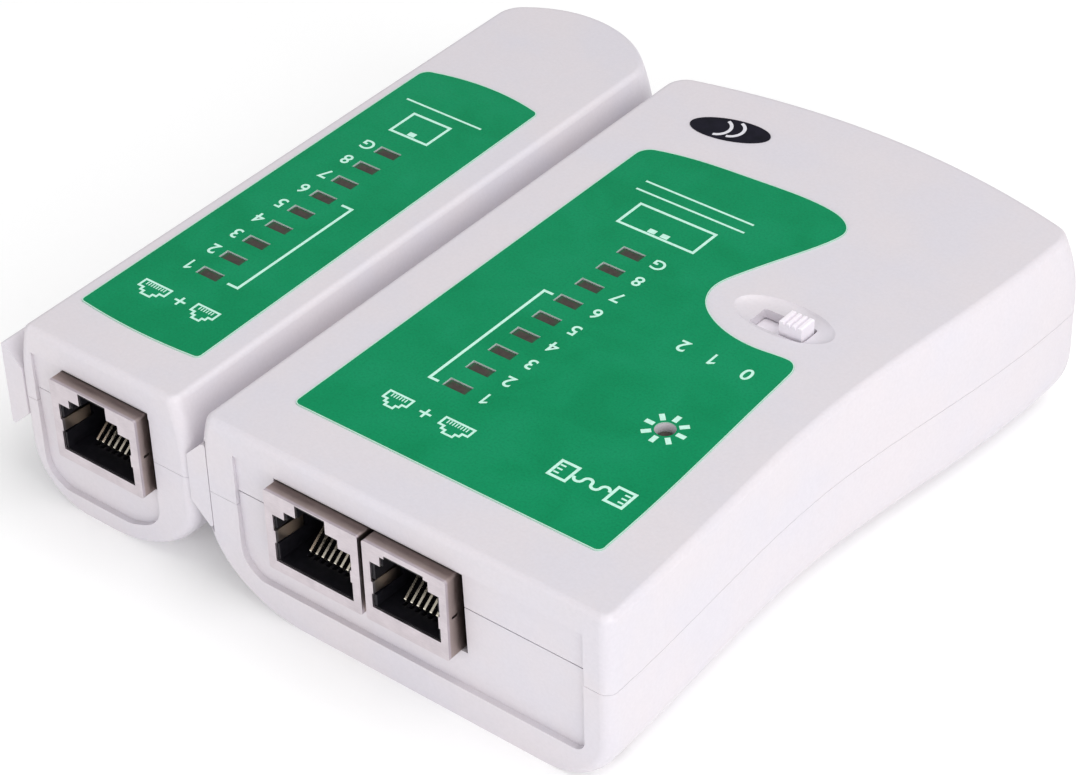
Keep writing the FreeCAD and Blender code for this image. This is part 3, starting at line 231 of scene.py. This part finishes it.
def tinned_sheet(name):
    """Rolled, tinned steel sheet: fine brushing along its length, with painted shade: tan-grey just
    behind its front edge, darkening to near black where it runs back inside the socket.
    """
    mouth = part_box("master_socket_shield")[0].y
    s = Surface(name, (0.66, 0.61, 0.60), 0.36, metallic=1.0)
    rolled = s.noise(0.09, 4.0, stretch=(0.12, 1.0, 1.0))
    smudge = s.noise(2.6, 3.0, distortion=0.4)
    shade = s.ramp(smudge, [(0.3, (0.60, 0.545, 0.575)), (0.5, (0.65, 0.59, 0.62)),
                            (0.72, (0.70, 0.64, 0.67))])
    streaks = s.ramp(rolled, [(0.3, 0.90), (0.7, 1.0)])
    # painted shade: multiplies the sheet tan-grey just behind its front edge, then darker to near black
    # further back inside the socket
    depth = s.ramp(s.span(s.axis("Y"), mouth + 0.3 * MM, mouth + 4.3 * MM),
                   [(0.0, 1.0), (0.06, (0.72, 0.66, 0.58)), (0.38, (0.46, 0.41, 0.36)),
                    (1.0, (0.10, 0.09, 0.08))])
    s.set("Base Color", s.mix(1.0, s.mix(1.0, shade, streaks, "MULTIPLY"), depth, "MULTIPLY"))
    s.set("Roughness", s.span(smudge, 0.3, 0.7, 0.32, 0.44))
    s.bumps((rolled, 0.006, 0.4),)
    return s.material


def socket_plastic(name):
    """Black glass-filled nylon."""
    s = Surface(name, (0.006, 0.006, 0.008), 0.45, specular=0.3)
    s.set("Base Color", s.ramp(s.noise(0.8, 3.0),
                               [(0.3, (0.004, 0.004, 0.006)), (0.7, (0.010, 0.009, 0.013))]))
    s.set("Roughness", s.span(s.noise(0.5, 3.0), 0.3, 0.7, 0.4, 0.56))
    s.bumps((s.noise(0.12, 3.0), 0.01, 0.4),)
    return s.material


def gold_wire(name, node):
    """Gold-plated spring wire with painted light and shade: pale bright lower tips where light falls,
    darkening to near black up in the socket's shade.
    """
    low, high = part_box(node)
    s = Surface(name, (0.95, 0.72, 0.38), 0.22, metallic=1.0)
    height = s.span(s.axis("Z"), low.z, high.z)
    # painted light and shade: pale, bright tips at the lower end where light falls, dark upper part in
    # the socket's shade
    painted_light_and_shade = s.ramp(height, [(0.0, (1.0, 0.95, 0.84)), (0.3, (0.90, 0.80, 0.60)),
                              (0.6, (0.34, 0.27, 0.15)), (0.9, (0.12, 0.09, 0.05))])
    tarnish = s.ramp(s.noise(2.5, 2.0), [(0.3, 0.88), (0.7, 1.0)])
    s.set("Base Color", s.mix(1.0, painted_light_and_shade, tarnish, "MULTIPLY"))
    s.set("Roughness", s.span(s.noise(0.25, 3.0), 0.3, 0.7, 0.16, 0.32))
    s.bumps((s.noise(0.08, 2.0), 0.004, 0.3),)
    return s.material


def lamp_lens(name, rim):
    """Unlit lamp: a clouded brown lens that takes up the green of the label round its rim.

    `rim` builds the nodes for how near a point is to the lens's outline, from 0 in the middle to 1.
    """
    s = Surface(name, (0.060, 0.048, 0.042), 0.42, specular=0.25)
    body = s.ramp(rim(s), [(0.45, (0.060, 0.048, 0.042)), (0.75, (0.050, 0.062, 0.042)),
                           (1.0, (0.012, 0.125, 0.052))])
    clouding = s.ramp(s.noise(0.6, 2.0), [(0.3, 0.72), (0.7, 1.0)])
    s.set("Base Color", s.mix(1.0, body, clouding, "MULTIPLY"))
    s.set("Roughness", s.span(s.noise(0.4, 2.0), 0.3, 0.7, 0.36, 0.5))
    s.bumps((s.noise(0.5, 2.0), 0.01, 0.3),)
    return s.material


def row_rim(node):
    """The rim of oblong lamps set in a row along Y."""
    low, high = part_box(node)
    rows = lamp_rows(node)
    pitch = rows[1] - rows[0]

    def build(s):
        across = s.math("ABSOLUTE", s.math("SUBTRACT", s.axis("X"), (low.x + high.x) / 2))
        run = s.math("SUBTRACT", s.axis("Y"), rows[0] - pitch / 2)
        turn = s.math("FRACT", s.math("DIVIDE", run, pitch))
        along = s.math("ABSOLUTE", s.math("SUBTRACT", turn, 0.5))
        return s.math("MAXIMUM", s.math("DIVIDE", across, (high.x - low.x) / 2),
                      s.math("DIVIDE", along, (rows[0] - low.y) / pitch))

    return build


def round_rim(node):
    """The rim of one round lamp."""
    low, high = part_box(node)

    def build(s):
        across = s.math("SUBTRACT", s.axis("X"), (low.x + high.x) / 2)
        along = s.math("SUBTRACT", s.axis("Y"), (low.y + high.y) / 2)
        square = s.math("ADD", s.math("MULTIPLY", across, across), s.math("MULTIPLY", along, along))
        return s.math("DIVIDE", s.math("SQRT", square), (high.x - low.x) / 2)

    return build


def board_laminate(name):
    """Green solder mask over etched tracks."""
    s = Surface(name, (0.012, 0.10, 0.035), 0.3)
    tracks = s.node("ShaderNodeTexBrick")
    tracks.inputs["Scale"].default_value = 1 / (9 * MM)
    tracks.inputs["Mortar Size"].default_value = 0.03
    tracks.inputs["Color1"].default_value = (0.010, 0.085, 0.030, 1)
    tracks.inputs["Color2"].default_value = (0.013, 0.100, 0.036, 1)
    tracks.inputs["Mortar"].default_value = (0.03, 0.19, 0.06, 1)
    s.link(s.place, tracks.inputs["Vector"])
    weave = s.ramp(s.noise(0.3, 2.0), [(0.3, 0.88), (0.7, 1.0)])
    s.set("Base Color", s.mix(1.0, tracks.outputs["Color"], weave, "MULTIPLY"))
    s.set("Roughness", s.span(s.noise(1.0, 2.0), 0.3, 0.7, 0.24, 0.4))
    s.bumps((tracks.outputs["Fac"], 0.03, 0.4),)
    return s.material


def chip_resin(name):
    s = Surface(name, (0.02, 0.02, 0.022), 0.5)
    specks = s.ramp(s.noise(0.12, 2.0), [(0.55, (0.018, 0.018, 0.02)), (0.7, (0.045, 0.045, 0.05))])
    s.set("Base Color", specks)
    s.set("Roughness", s.span(s.noise(0.5, 3.0), 0.3, 0.7, 0.42, 0.6))
    s.bumps((s.noise(0.15, 3.0), 0.01, 0.5),)
    return s.material


def banded_body(name, node, body, bands, lead=(0.62, 0.61, 0.60)):
    """A small part lying along X: painted body with colour bands, and bare metal leads."""
    low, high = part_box(node)
    bare, band_width = 0.16, 0.045      # parts of the whole length: each lead, and one band
    s = Surface(name, body, 0.32)
    along = s.span(s.axis("X"), low.x, high.x)
    stops = [(0.0, lead), (bare, body)]
    for position, shade in bands:
        stops += [(position, shade), (position + band_width, body)]
    stops.append((1 - bare, lead))
    rings = s.ramp(along, stops, "CONSTANT")
    grain = s.ramp(s.noise(0.4, 2.0), [(0.3, 0.86), (0.7, 1.0)])
    s.set("Base Color", s.mix(1.0, rings, grain, "MULTIPLY"))
    distance = s.math("ABSOLUTE", s.math("SUBTRACT", along, 0.5))
    s.set("Metallic", s.math("GREATER_THAN", distance, 0.5 - bare))
    s.bumps((s.noise(0.3, 2.0), 0.01, 0.3),)
    return s.material


def shrink_sleeve(name):
    s = Surface(name, (0.02, 0.03, 0.09), 0.28)
    s.set("Base Color", s.ramp(s.noise(1.8, 3.0),
                               [(0.3, (0.015, 0.022, 0.07)), (0.7, (0.03, 0.04, 0.11))]))
    s.set("Roughness", s.span(s.noise(0.8, 2.0), 0.3, 0.7, 0.22, 0.38))
    s.bumps((s.noise(0.5, 2.0), 0.02, 0.3),)
    return s.material


def battery_sleeve(name):
    """Dark printed wrap with a copper-coloured end, and bare terminals."""
    low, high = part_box("battery")
    s = Surface(name, (0.03, 0.03, 0.033), 0.3)
    along = s.span(s.axis("Y"), low.y, high.y)
    wrap = s.ramp(along, [(0.04, (0.62, 0.60, 0.58)), (0.05, (0.48, 0.21, 0.08)),
                          (0.30, (0.50, 0.23, 0.09)), (0.305, (0.03, 0.03, 0.033))])
    scuffs = s.ramp(s.noise(3.0, 5.0, stretch=(1.0, 0.25, 1.0)), [(0.35, 0.86), (0.65, 1.0)])
    s.set("Base Color", s.mix(1.0, wrap, scuffs, "MULTIPLY"))
    s.set("Metallic", s.span(along, 0.305, 0.30))
    s.set("Roughness", s.span(s.noise(1.4, 3.0), 0.3, 0.7, 0.24, 0.42))
    s.bumps((s.noise(2.0, 2.0), 0.03, 0.2),)
    return s.material


def soft_vinyl(name, colour):
    darker = tuple(c * 0.75 for c in colour)
    s = Surface(name, colour, 0.45)
    s.set("Base Color", s.ramp(s.noise(1.2, 3.0), [(0.3, darker), (0.7, colour)]))
    s.set("Roughness", s.span(s.noise(0.6, 3.0), 0.3, 0.7, 0.38, 0.55))
    s.bumps((s.noise(0.3, 3.0), 0.015, 0.4),)
    return s.material


def plated_steel(name):
    """Zinc-plated screws and frames: bright with fine turning marks."""
    s = Surface(name, (0.6, 0.6, 0.62), 0.3, metallic=1.0)
    s.set("Base Color", s.ramp(s.noise(0.6, 4.0),
                               [(0.3, (0.48, 0.48, 0.51)), (0.7, (0.70, 0.70, 0.71))]))
    s.set("Roughness", s.span(s.noise(0.3, 3.0), 0.3, 0.7, 0.24, 0.42))
    s.bumps((s.noise(0.12, 2.0), 0.006, 0.4),)
    return s.material


def badge_film(name):
    s = Surface(name, (0.004, 0.004, 0.010), 0.4, specular=0.12)
    s.set("Base Color", s.ramp(s.noise(1.5, 3.0),
                               [(0.3, (0.002, 0.002, 0.007)), (0.7, (0.006, 0.005, 0.014))]))
    s.set("Roughness", s.span(s.noise(0.8, 2.0), 0.3, 0.7, 0.34, 0.48))
    s.bumps((s.noise(0.7, 2.0), 0.01, 0.3),)
    return s.material


def floor_sheet(name):
    """Seamless pale studio paper, faintly self-lit like a light table."""
    s = Surface(name, (0.93, 0.93, 0.93), 0.7, specular=0.2)
    s.set("Base Color", s.ramp(s.noise(60.0, 2.0), [(0.3, 0.925), (0.7, 0.935)]))
    s.shader.inputs["Emission Color"].default_value = (1, 1, 1, 1)
    s.shader.inputs["Emission Strength"].default_value = 0.10
    s.bumps((s.noise(1.5, 3.0), 0.02, 0.15),)
    return s.material


def paint(node, material):
    """Gives a CAD node one material."""
    slots = NODES[node].data.materials
    slots.clear()
    slots.append(material)


def paint_frame():
    housing = housing_plastic("housing_abs")
    knob = housing_plastic("switch_cap_abs", 1.3)
    film = label_film("green_label_film")
    sheet = tinned_sheet("tinned_shield_sheet")
    nylon = socket_plastic("black_nylon")
    laminate = board_laminate("circuit_board_mask")
    resin = chip_resin("moulded_resin")
    steel = plated_steel("zinc_plated_steel")
    tan, brown, red = (0.52, 0.36, 0.17), (0.12, 0.04, 0.01), (0.5, 0.02, 0.02)
    black, gold = (0.01, 0.01, 0.01), (0.5, 0.33, 0.05)
    shared = {
        "master_top_shell": housing, "master_bottom_shell": housing,
        "remote_top_shell": housing, "remote_bottom_shell": housing,
        "battery_door": housing, "switch_knob": knob,
        "master_label": film, "remote_label": film, "rear_badge": badge_film("badge_film"),
        "master_circuit_board": laminate, "remote_circuit_board": laminate,
        "counter_chip": resin, "timer_chip": resin,
        "switch_case": steel, "master_case_screws": steel, "remote_case_screws": steel,
        "master_board_screws": steel, "remote_board_screws": steel,
        "battery": battery_sleeve("battery_wrap"),
        "battery_snap": soft_vinyl("snap_vinyl", (0.03, 0.03, 0.03)),
        "battery_lead_positive": soft_vinyl("red_vinyl", (0.42, 0.02, 0.015)),
        "battery_lead_negative": soft_vinyl("black_vinyl", (0.02, 0.02, 0.02)),
        "timing_capacitor": shrink_sleeve("capacitor_sleeve"),
        "master_line_lamps": lamp_lens("master_lamp_lens", row_rim("master_line_lamps")),
        "remote_line_lamps": lamp_lens("remote_lamp_lens", row_rim("remote_line_lamps")),
        "power_lamp": lamp_lens("power_lamp_lens", round_rim("power_lamp")),
        "master_resistors": banded_body("resistor_enamel", "master_resistors", tan,
                                        [(0.26, brown), (0.38, black), (0.5, red), (0.68, gold)]),
        "remote_diodes": banded_body("diode_glass", "remote_diodes", (0.40, 0.12, 0.03),
                                     [(0.62, black)]),
    }
    for socket in ("master_socket", "phone_socket", "remote_socket"):
        shared[socket + "_shield"] = sheet
        shared[socket + "_insert"] = nylon
        shared[socket + "_contacts"] = gold_wire(socket + "_gold", socket + "_contacts")
    for node, material in shared.items():
        paint(node, material)


# ==== printing on the labels =========================================================================
class Print:
    """Flat marks of one ink, gathered in one mesh that lies on a label's face."""

    def __init__(self, z):
        self.mesh = bmesh.new()
        self.z = z

    def raised(self, faces):
        """Gives flat faces that share corners their thickness, as one closed shape."""
        grown = bmesh.ops.extrude_face_region(self.mesh, geom=faces)
        lifted = [v for v in grown["geom"] if isinstance(v, bmesh.types.BMVert)]
        bmesh.ops.translate(self.mesh, verts=lifted, vec=(0, 0, INK))

    def polygon(self, points):
        """A flat closed shape; points in metres."""
        self.raised([self.mesh.faces.new([self.mesh.verts.new((x, y, self.z)) for x, y in points])])

    def strip(self, first, second, closed=False):
        """A ribbon between two rows of matching points."""
        rows = [[self.mesh.verts.new((x, y, self.z)) for x, y in row] for row in (first, second)]
        count = len(first)
        faces = []
        for i in range(count if closed else count - 1):
            j = (i + 1) % count
            faces.append(self.mesh.faces.new([rows[0][i], rows[0][j], rows[1][j], rows[1][i]]))
        self.raised(faces)

    def bar(self, start, end, width):
        a, b = Vector(start), Vector(end)
        along = (b - a).normalized()
        side = Vector((-along.y, along.x)) * width / 2
        self.polygon([a - side, b - side, b + side, a + side])

    def band(self, centre, radius, width, first, last, steps=24):
        """Part of a ring, between two angles in degrees."""
        turns = [math.radians(first + (last - first) * i / steps) for i in range(steps + 1)]
        rows = [[(centre[0] + r * math.cos(t), centre[1] + r * math.sin(t)) for t in turns]
                for r in (radius - width / 2, radius + width / 2)]
        self.strip(*rows)

    def loop(self, points, width):
        """An outline drawn with a line of this width, mitred at its corners."""
        self.strip(offset_loop(points, width / 2), offset_loop(points, -width / 2), closed=True)

    def one(self, centre, height):
        """The figure 1 with its flag, read from the far side of the object."""
        x, y = centre[0] - 0.1 * height, centre[1]
        shape = ((-0.07, 0.5), (-0.07, -0.5), (0.07, -0.5), (0.34, -0.27), (0.34, -0.14),
                 (0.07, -0.3), (0.07, 0.5))
        self.polygon([(x + across * height, y + along * height) for across, along in shape])

    def numeral(self, text, centre, height):
        """A character from Blender's own font, read from the far side of the object."""
        curve = bpy.data.curves.new("numeral", "FONT")
        curve.body = text
        curve.offset = 0.012            # a slightly bolder stroke
        curve.extrude = 0.1             # any depth will do; it becomes INK below
        holder = bpy.data.objects.new("numeral", curve)
        bpy.context.scene.collection.objects.link(holder)
        graph = bpy.context.evaluated_depsgraph_get()
        flat = bpy.data.meshes.new_from_object(holder.evaluated_get(graph))
        bpy.data.objects.remove(holder)
        xs = [v.co.x for v in flat.vertices]
        ys = [v.co.y for v in flat.vertices]
        scale = height / (max(ys) - min(ys))
        middle = Vector(((max(xs) + min(xs)) / 2, (max(ys) + min(ys)) / 2, 0))
        flat.transform(Matrix.Translation((centre[0], centre[1], self.z))
                       @ Matrix.Rotation(math.pi, 4, "Z") @ Matrix.Scale(scale, 4)
                       @ Matrix.Translation(-middle))
        for vertex in flat.vertices:
            vertex.co.z = self.z + (INK if vertex.co.z > self.z else 0)
        self.mesh.from_mesh(flat)
        bpy.data.meshes.remove(flat)

    def piece(self, name, material, body, slot):
        bmesh.ops.remove_doubles(self.mesh, verts=self.mesh.verts, dist=0.001 * MM)
        bmesh.ops.recalc_face_normals(self.mesh, faces=self.mesh.faces)
        data = bpy.data.meshes.new(name)
        self.mesh.to_mesh(data)
        self.mesh.free()
        data.materials.append(material)
        piece = bpy.data.objects.new(name, data)
        bpy.context.scene.collection.objects.link(piece)
        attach(piece, body)


def offset_loop(points, distance):
    """Moves each corner of a closed outline outward by a distance (anticlockwise outlines)."""
    moved = []
    count = len(points)
    for i in range(count):
        before, here, after = (Vector(points[(i + k) % count]) for k in (-1, 0, 1))
        first, second = (here - before).normalized(), (after - here).normalized()
        left, right = Vector((first.y, -first.x)), Vector((second.y, -second.x))
        mitre = (left + right).normalized()
        moved.append(here + mitre * distance / max(0.5, mitre.dot(right)))
    return moved


def top_outline(node):
    """The outer edge of a flat node's upper face, anticlockwise, as points in metres."""
    mesh = bmesh.new()
    mesh.from_mesh(NODES[node].data)
    bmesh.ops.remove_doubles(mesh, verts=mesh.verts, dist=1e-7)
    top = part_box(node)[1].z
    level = {v for v in mesh.verts if abs(v.co.z - top) < 1e-6}
    rim = {}
    for edge in mesh.edges:
        if edge.verts[0] in level and edge.verts[1] in level:
            flat = [f for f in edge.link_faces if all(v in level for v in f.verts)]
            if len(flat) == 1:
                for vertex, other in (edge.verts, reversed(edge.verts)):
                    rim.setdefault(vertex, []).append(other)
    loops = []
    left = set(rim)
    while left:
        start = max(left, key=lambda v: (v.co.x, v.co.y))
        loop = [start]
        left.discard(start)
        following = rim[start][0]
        while following in left:
            loop.append(following)
            left.discard(following)
            ahead = [v for v in rim[following] if v in left]
            following = ahead[0] if ahead else start
        loops.append([v.co.xy.copy() for v in loop])
    mesh.free()
    longest = max(loops, key=lambda pts: sum((a - b).length for a, b in zip(pts, pts[1:])))
    area = sum(a.x * b.y - b.x * a.y for a, b in zip(longest, longest[1:] + longest[:1]))
    return longest if area > 0 else longest[::-1]


def lamp_rows(node):
    """The middle of each lamp in a row, front to back."""
    low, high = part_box(node)
    step = (high.y - low.y - 2 * LAMP_HALF) / (LAMP_COUNT - 1)
    return [low.y + LAMP_HALF + i * step for i in range(LAMP_COUNT)]


def lamp_centre_x(node):
    low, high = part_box(node)
    return (low.x + high.x) / 2


def socket_sign(ink_print, x, y, wide):
    """A small outline of a modular socket's stepped window, latch notch towards the reader."""
    width, height = (2.3 * MM, 2.0 * MM) if wide else (1.9 * MM, 2.0 * MM)
    step, notch = 0.62 * width, 0.34 * width
    outline, pin, pitch = 0.32 * MM, 0.16 * MM, 0.44 * MM
    right = [(width, -0.5), (width, 0.25), (step, 0.25), (step, 0.55), (notch, 0.55), (notch, 0.85)]
    left = [(-across, up) for across, up in reversed(right)]
    ink_print.loop([(x - across, y - up * height) for across, up in left[-1:] + right + left[:-1]],
                   outline)
    ways = 8 if wide else 6
    for i in range(ways):
        cx = x + (i - (ways - 1) / 2) * pitch
        ink_print.bar((cx, y + height * 0.38), (cx, y + height * 0.05), pin)


def plus_sign(ink_print, x, y):
    reach = 0.9 * MM
    ink_print.bar((x - reach, y), (x + reach, y), THIN_LINE)
    ink_print.bar((x, y - reach), (x, y - THIN_LINE / 2), THIN_LINE)
    ink_print.bar((x, y + THIN_LINE / 2), (x, y + reach), THIN_LINE)


def rule(ink_print, x0, x1, y):
    ink_print.bar((x0, y), (x1, y), THIN_LINE)


def rectangle(x, y, width, height):
    """The corners of an upright rectangle round a middle, anticlockwise."""
    signs = ((-1, -1), (1, -1), (1, 1), (-1, 1))
    return [(x + across * width / 2, y + up * height / 2) for across, up in signs]


def lamp_numbers(ink_print, node, x):
    rows = lamp_rows(node)
    ink_print.one((x, rows[0]), LAMP_DIGIT)
    for text, y in zip("2345678G", rows[1:]):
        ink_print.numeral(text, (x, y), LAMP_DIGIT)


def bracket(ink_print, x, tick_x, y0, y1):
    """A line along a row of lamps, turned in at both ends as far as tick_x."""
    side = math.copysign(LINE / 2, tick_x - x)
    inner_y0, inner_y1 = y0 + LINE, y1 - LINE
    ink_print.polygon([(tick_x, y0), (x - side, y0), (x - side, y1), (tick_x, y1), (tick_x, inner_y1),
                       (x + side, inner_y1), (x + side, inner_y0), (tick_x, inner_y0)])


def lamp_rays(ink_print):
    low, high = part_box("power_lamp")
    middle = Vector(((low.x + high.x) / 2, (low.y + high.y) / 2))
    inner, outer, width = 1.75 * MM, 3.05 * MM, 0.72 * MM
    rays = 8
    for i in range(rays):
        turn = math.tau * i / rays
        direction = Vector((math.cos(turn), math.sin(turn)))
        ink_print.bar(middle + direction * inner, middle + direction * outer, width)


def plug_and_cable(ink_print, x, y):
    """Two plug outlines joined by a wavy cable: the sign for cable testing."""
    reach, plug_width, plug_height = 4.3 * MM, 2.6 * MM, 3.0 * MM
    pin_start, pin_end, pin_pitch, pin = 0.2 * MM, 1.0 * MM, 0.75 * MM, 0.26 * MM
    for side in (-1, 1):
        cx = x + side * reach
        ink_print.loop(rectangle(cx, y, plug_width, plug_height), LINE)
        for k in (-1, 0, 1):
            pin_y = y + k * pin_pitch
            ink_print.bar((cx + side * pin_start, pin_y), (cx + side * pin_end, pin_y), pin)
    waves, radius = 4, 0.65 * MM
    for i in range(waves):
        centre = (x + (2 * i - waves + 1) * radius, y)
        ink_print.band(centre, radius, LINE, 0, 180 if i % 2 else -180, steps=14)


def unit_sign(ink_print, x, y, width, height, sockets):
    """A plan outline of one unit with its sockets drawn as solid blocks."""
    pitch, block_width = 2.1 * MM, 1.2 * MM
    block_y0, block_y1 = y - height / 2 + 0.35 * MM, y - height / 2 + 1.25 * MM
    ink_print.loop(rectangle(x, y, width, height), LINE)
    for k in range(sockets):
        cx = x + (k - (sockets - 1) / 2) * pitch
        ink_print.bar((cx, block_y0), (cx, block_y1), block_width)


def master_printing(material):
    low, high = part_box("master_label")
    lamps_x = lamp_centre_x("master_line_lamps")
    rows = lamp_rows("master_line_lamps")
    ink_print = Print(high.z)
    lamp_numbers(ink_print, "master_line_lamps", lamps_x + 4.55 * MM)
    bracket(ink_print, lamps_x - 4.05 * MM, lamps_x - 2.6 * MM, rows[0] - 0.9 * MM, rows[5] + 0.3 * MM)
    sign_y = low.y + SIGN_RISE
    socket_sign(ink_print, lamps_x + 5.2 * MM, sign_y, True)
    plus_sign(ink_print, lamps_x + 0.3 * MM, sign_y)
    socket_sign(ink_print, lamps_x - 4.3 * MM, sign_y, False)
    lamp_rays(ink_print)
    right = high.x
    plug_and_cable(ink_print, right - 8.5 * MM, low.y + 9.6 * MM)
    switch_y = low.y + 38.4 * MM
    ink_print.one((right - 11.4 * MM, switch_y), SWITCH_DIGIT)
    for text, offset in (("0", 6.2), ("2", 16.2)):
        ink_print.numeral(text, (right - offset * MM, switch_y), SWITCH_DIGIT)
    unit_sign(ink_print, lamps_x + 0.2 * MM, rows[8] + 7.6 * MM, 12.5 * MM, UNIT_SIGN_HEIGHT, 2)
    rule(ink_print, lamps_x - 8.8 * MM, lamps_x + 9.2 * MM, rows[8] + 12.8 * MM)
    rule(ink_print, lamps_x - 8.8 * MM, lamps_x + 9.2 * MM, rows[8] + 15.0 * MM)
    ink_print.piece("master_label_printing", material, "master_unit", "label_film")


def remote_printing(material):
    low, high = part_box("remote_label")
    lamps_x = lamp_centre_x("remote_line_lamps")
    rows = lamp_rows("remote_line_lamps")
    ink_print = Print(high.z)
    lamp_numbers(ink_print, "remote_line_lamps", lamps_x - 3.6 * MM)
    bracket(ink_print, lamps_x + 5.2 * MM, lamps_x + 3.4 * MM, rows[0] - 0.5 * MM, rows[5] + 0.2 * MM)
    sign_y = low.y + SIGN_RISE
    socket_sign(ink_print, lamps_x + 5.4 * MM, sign_y, False)
    plus_sign(ink_print, lamps_x + 1.1 * MM, sign_y)
    socket_sign(ink_print, lamps_x - 3.6 * MM, sign_y, True)
    unit_sign(ink_print, lamps_x - 0.3 * MM, rows[8] + 7.4 * MM, 6.6 * MM, UNIT_SIGN_HEIGHT, 1)
    rule(ink_print, lamps_x - 7.0 * MM, lamps_x + 6.6 * MM, rows[8] + 12.4 * MM)
    ink_print.piece("remote_label_printing", material, "remote_unit", "label_film")


def label_edge(node, material, body):
    """The pale unprinted margin round a label."""
    width, inset = 0.14 * MM, 0.01 * MM
    edge = Print(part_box(node)[1].z)
    edge.loop(offset_loop(top_outline(node), -width / 2 - inset), width)
    edge.piece(node + "_margin", material, body, "label_film")


def badge_mark(material):
    """Two plain arcs side by side on the dark badge."""
    low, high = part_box("rear_badge")
    x, y = (low.x + high.x) / 2, (low.y + high.y) / 2
    radius, width, spread = 2.05 * MM, 0.5 * MM, 72
    mark = Print(high.z)
    for across, along in ((-2.0, -0.36), (-0.18, 0.28)):
        mark.band((x + across * MM, y + along * MM), radius, width, -spread, spread)
    mark.piece("rear_badge_mark", material, "master_unit", "badge_film")


# ==== studio =========================================================================================
def floor():
    mesh = bmesh.new()
    corners = rectangle(0, 0, FLOOR_SIZE, FLOOR_SIZE)
    mesh.faces.new([mesh.verts.new((x, y, CAD_BOX[0].z)) for x, y in corners])
    data = bpy.data.meshes.new("studio_floor")
    mesh.to_mesh(data)
    mesh.free()
    data.materials.append(floor_sheet("studio_paper"))
    sheet = bpy.data.objects.new("studio_floor", data)
    bpy.context.scene.collection.objects.link(sheet)


def soft_box(name, place, target, size, power):
    light = bpy.data.lights.new(name, "AREA")
    light.shape = "RECTANGLE"
    light.size, light.size_y = size
    light.energy = power
    holder = bpy.data.objects.new(name, light)
    holder.location = place
    holder.rotation_euler = (Vector(target) - Vector(place)).to_track_quat("-Z", "Y").to_euler()
    bpy.context.scene.collection.objects.link(holder)


def studio():
    floor()
    world = bpy.data.worlds.new("studio")
    bpy.context.scene.world = world
    world.use_nodes = True
    background = world.node_tree.nodes["Background"]
    background.inputs["Color"].default_value = (1.0, 1.0, 1.0, 1)
    background.inputs["Strength"].default_value = WORLD_LIGHT
    soft_box("key_softbox", (0.75, -0.35, 0.38), (0, 0, 0.01), (0.7, 0.5), KEY_LIGHT)
    soft_box("front_softbox", (-0.1, -0.85, 0.34), (0, 0, 0.01), (0.9, 0.4), FRONT_LIGHT)
    soft_box("top_softbox", (0.35, 0.15, 0.85), (0, 0, 0.02), (0.8, 0.8), TOP_LIGHT)
    bpy.context.scene.view_settings.view_transform = "Standard"
    bpy.context.scene.view_settings.look = "None"


def camera():
    data = bpy.data.cameras.new("photo_camera")
    data.lens = CAMERA_LENS
    data.sensor_width = 36
    data.clip_start = 0.01
    data.clip_end = 10
    holder = bpy.data.objects.new("photo_camera", data)
    holder.location = CAMERA_PLACE
    holder.rotation_euler = Euler([math.radians(a) for a in CAMERA_TURN], "XYZ")
    bpy.context.scene.collection.objects.link(holder)
    bpy.context.scene.camera = holder


camera()
studio()
paint_frame()
mint_ink = ink("mint_white_ink", (0.55, 0.88, 0.75))
master_printing(mint_ink)
remote_printing(mint_ink)
margin_ink = ink("label_margin", (0.50, 0.76, 0.64))
label_edge("master_label", margin_ink, "master_unit")
label_edge("remote_label", margin_ink, "remote_unit")
badge_mark(ink("badge_ink", (0.72, 0.71, 0.76)))
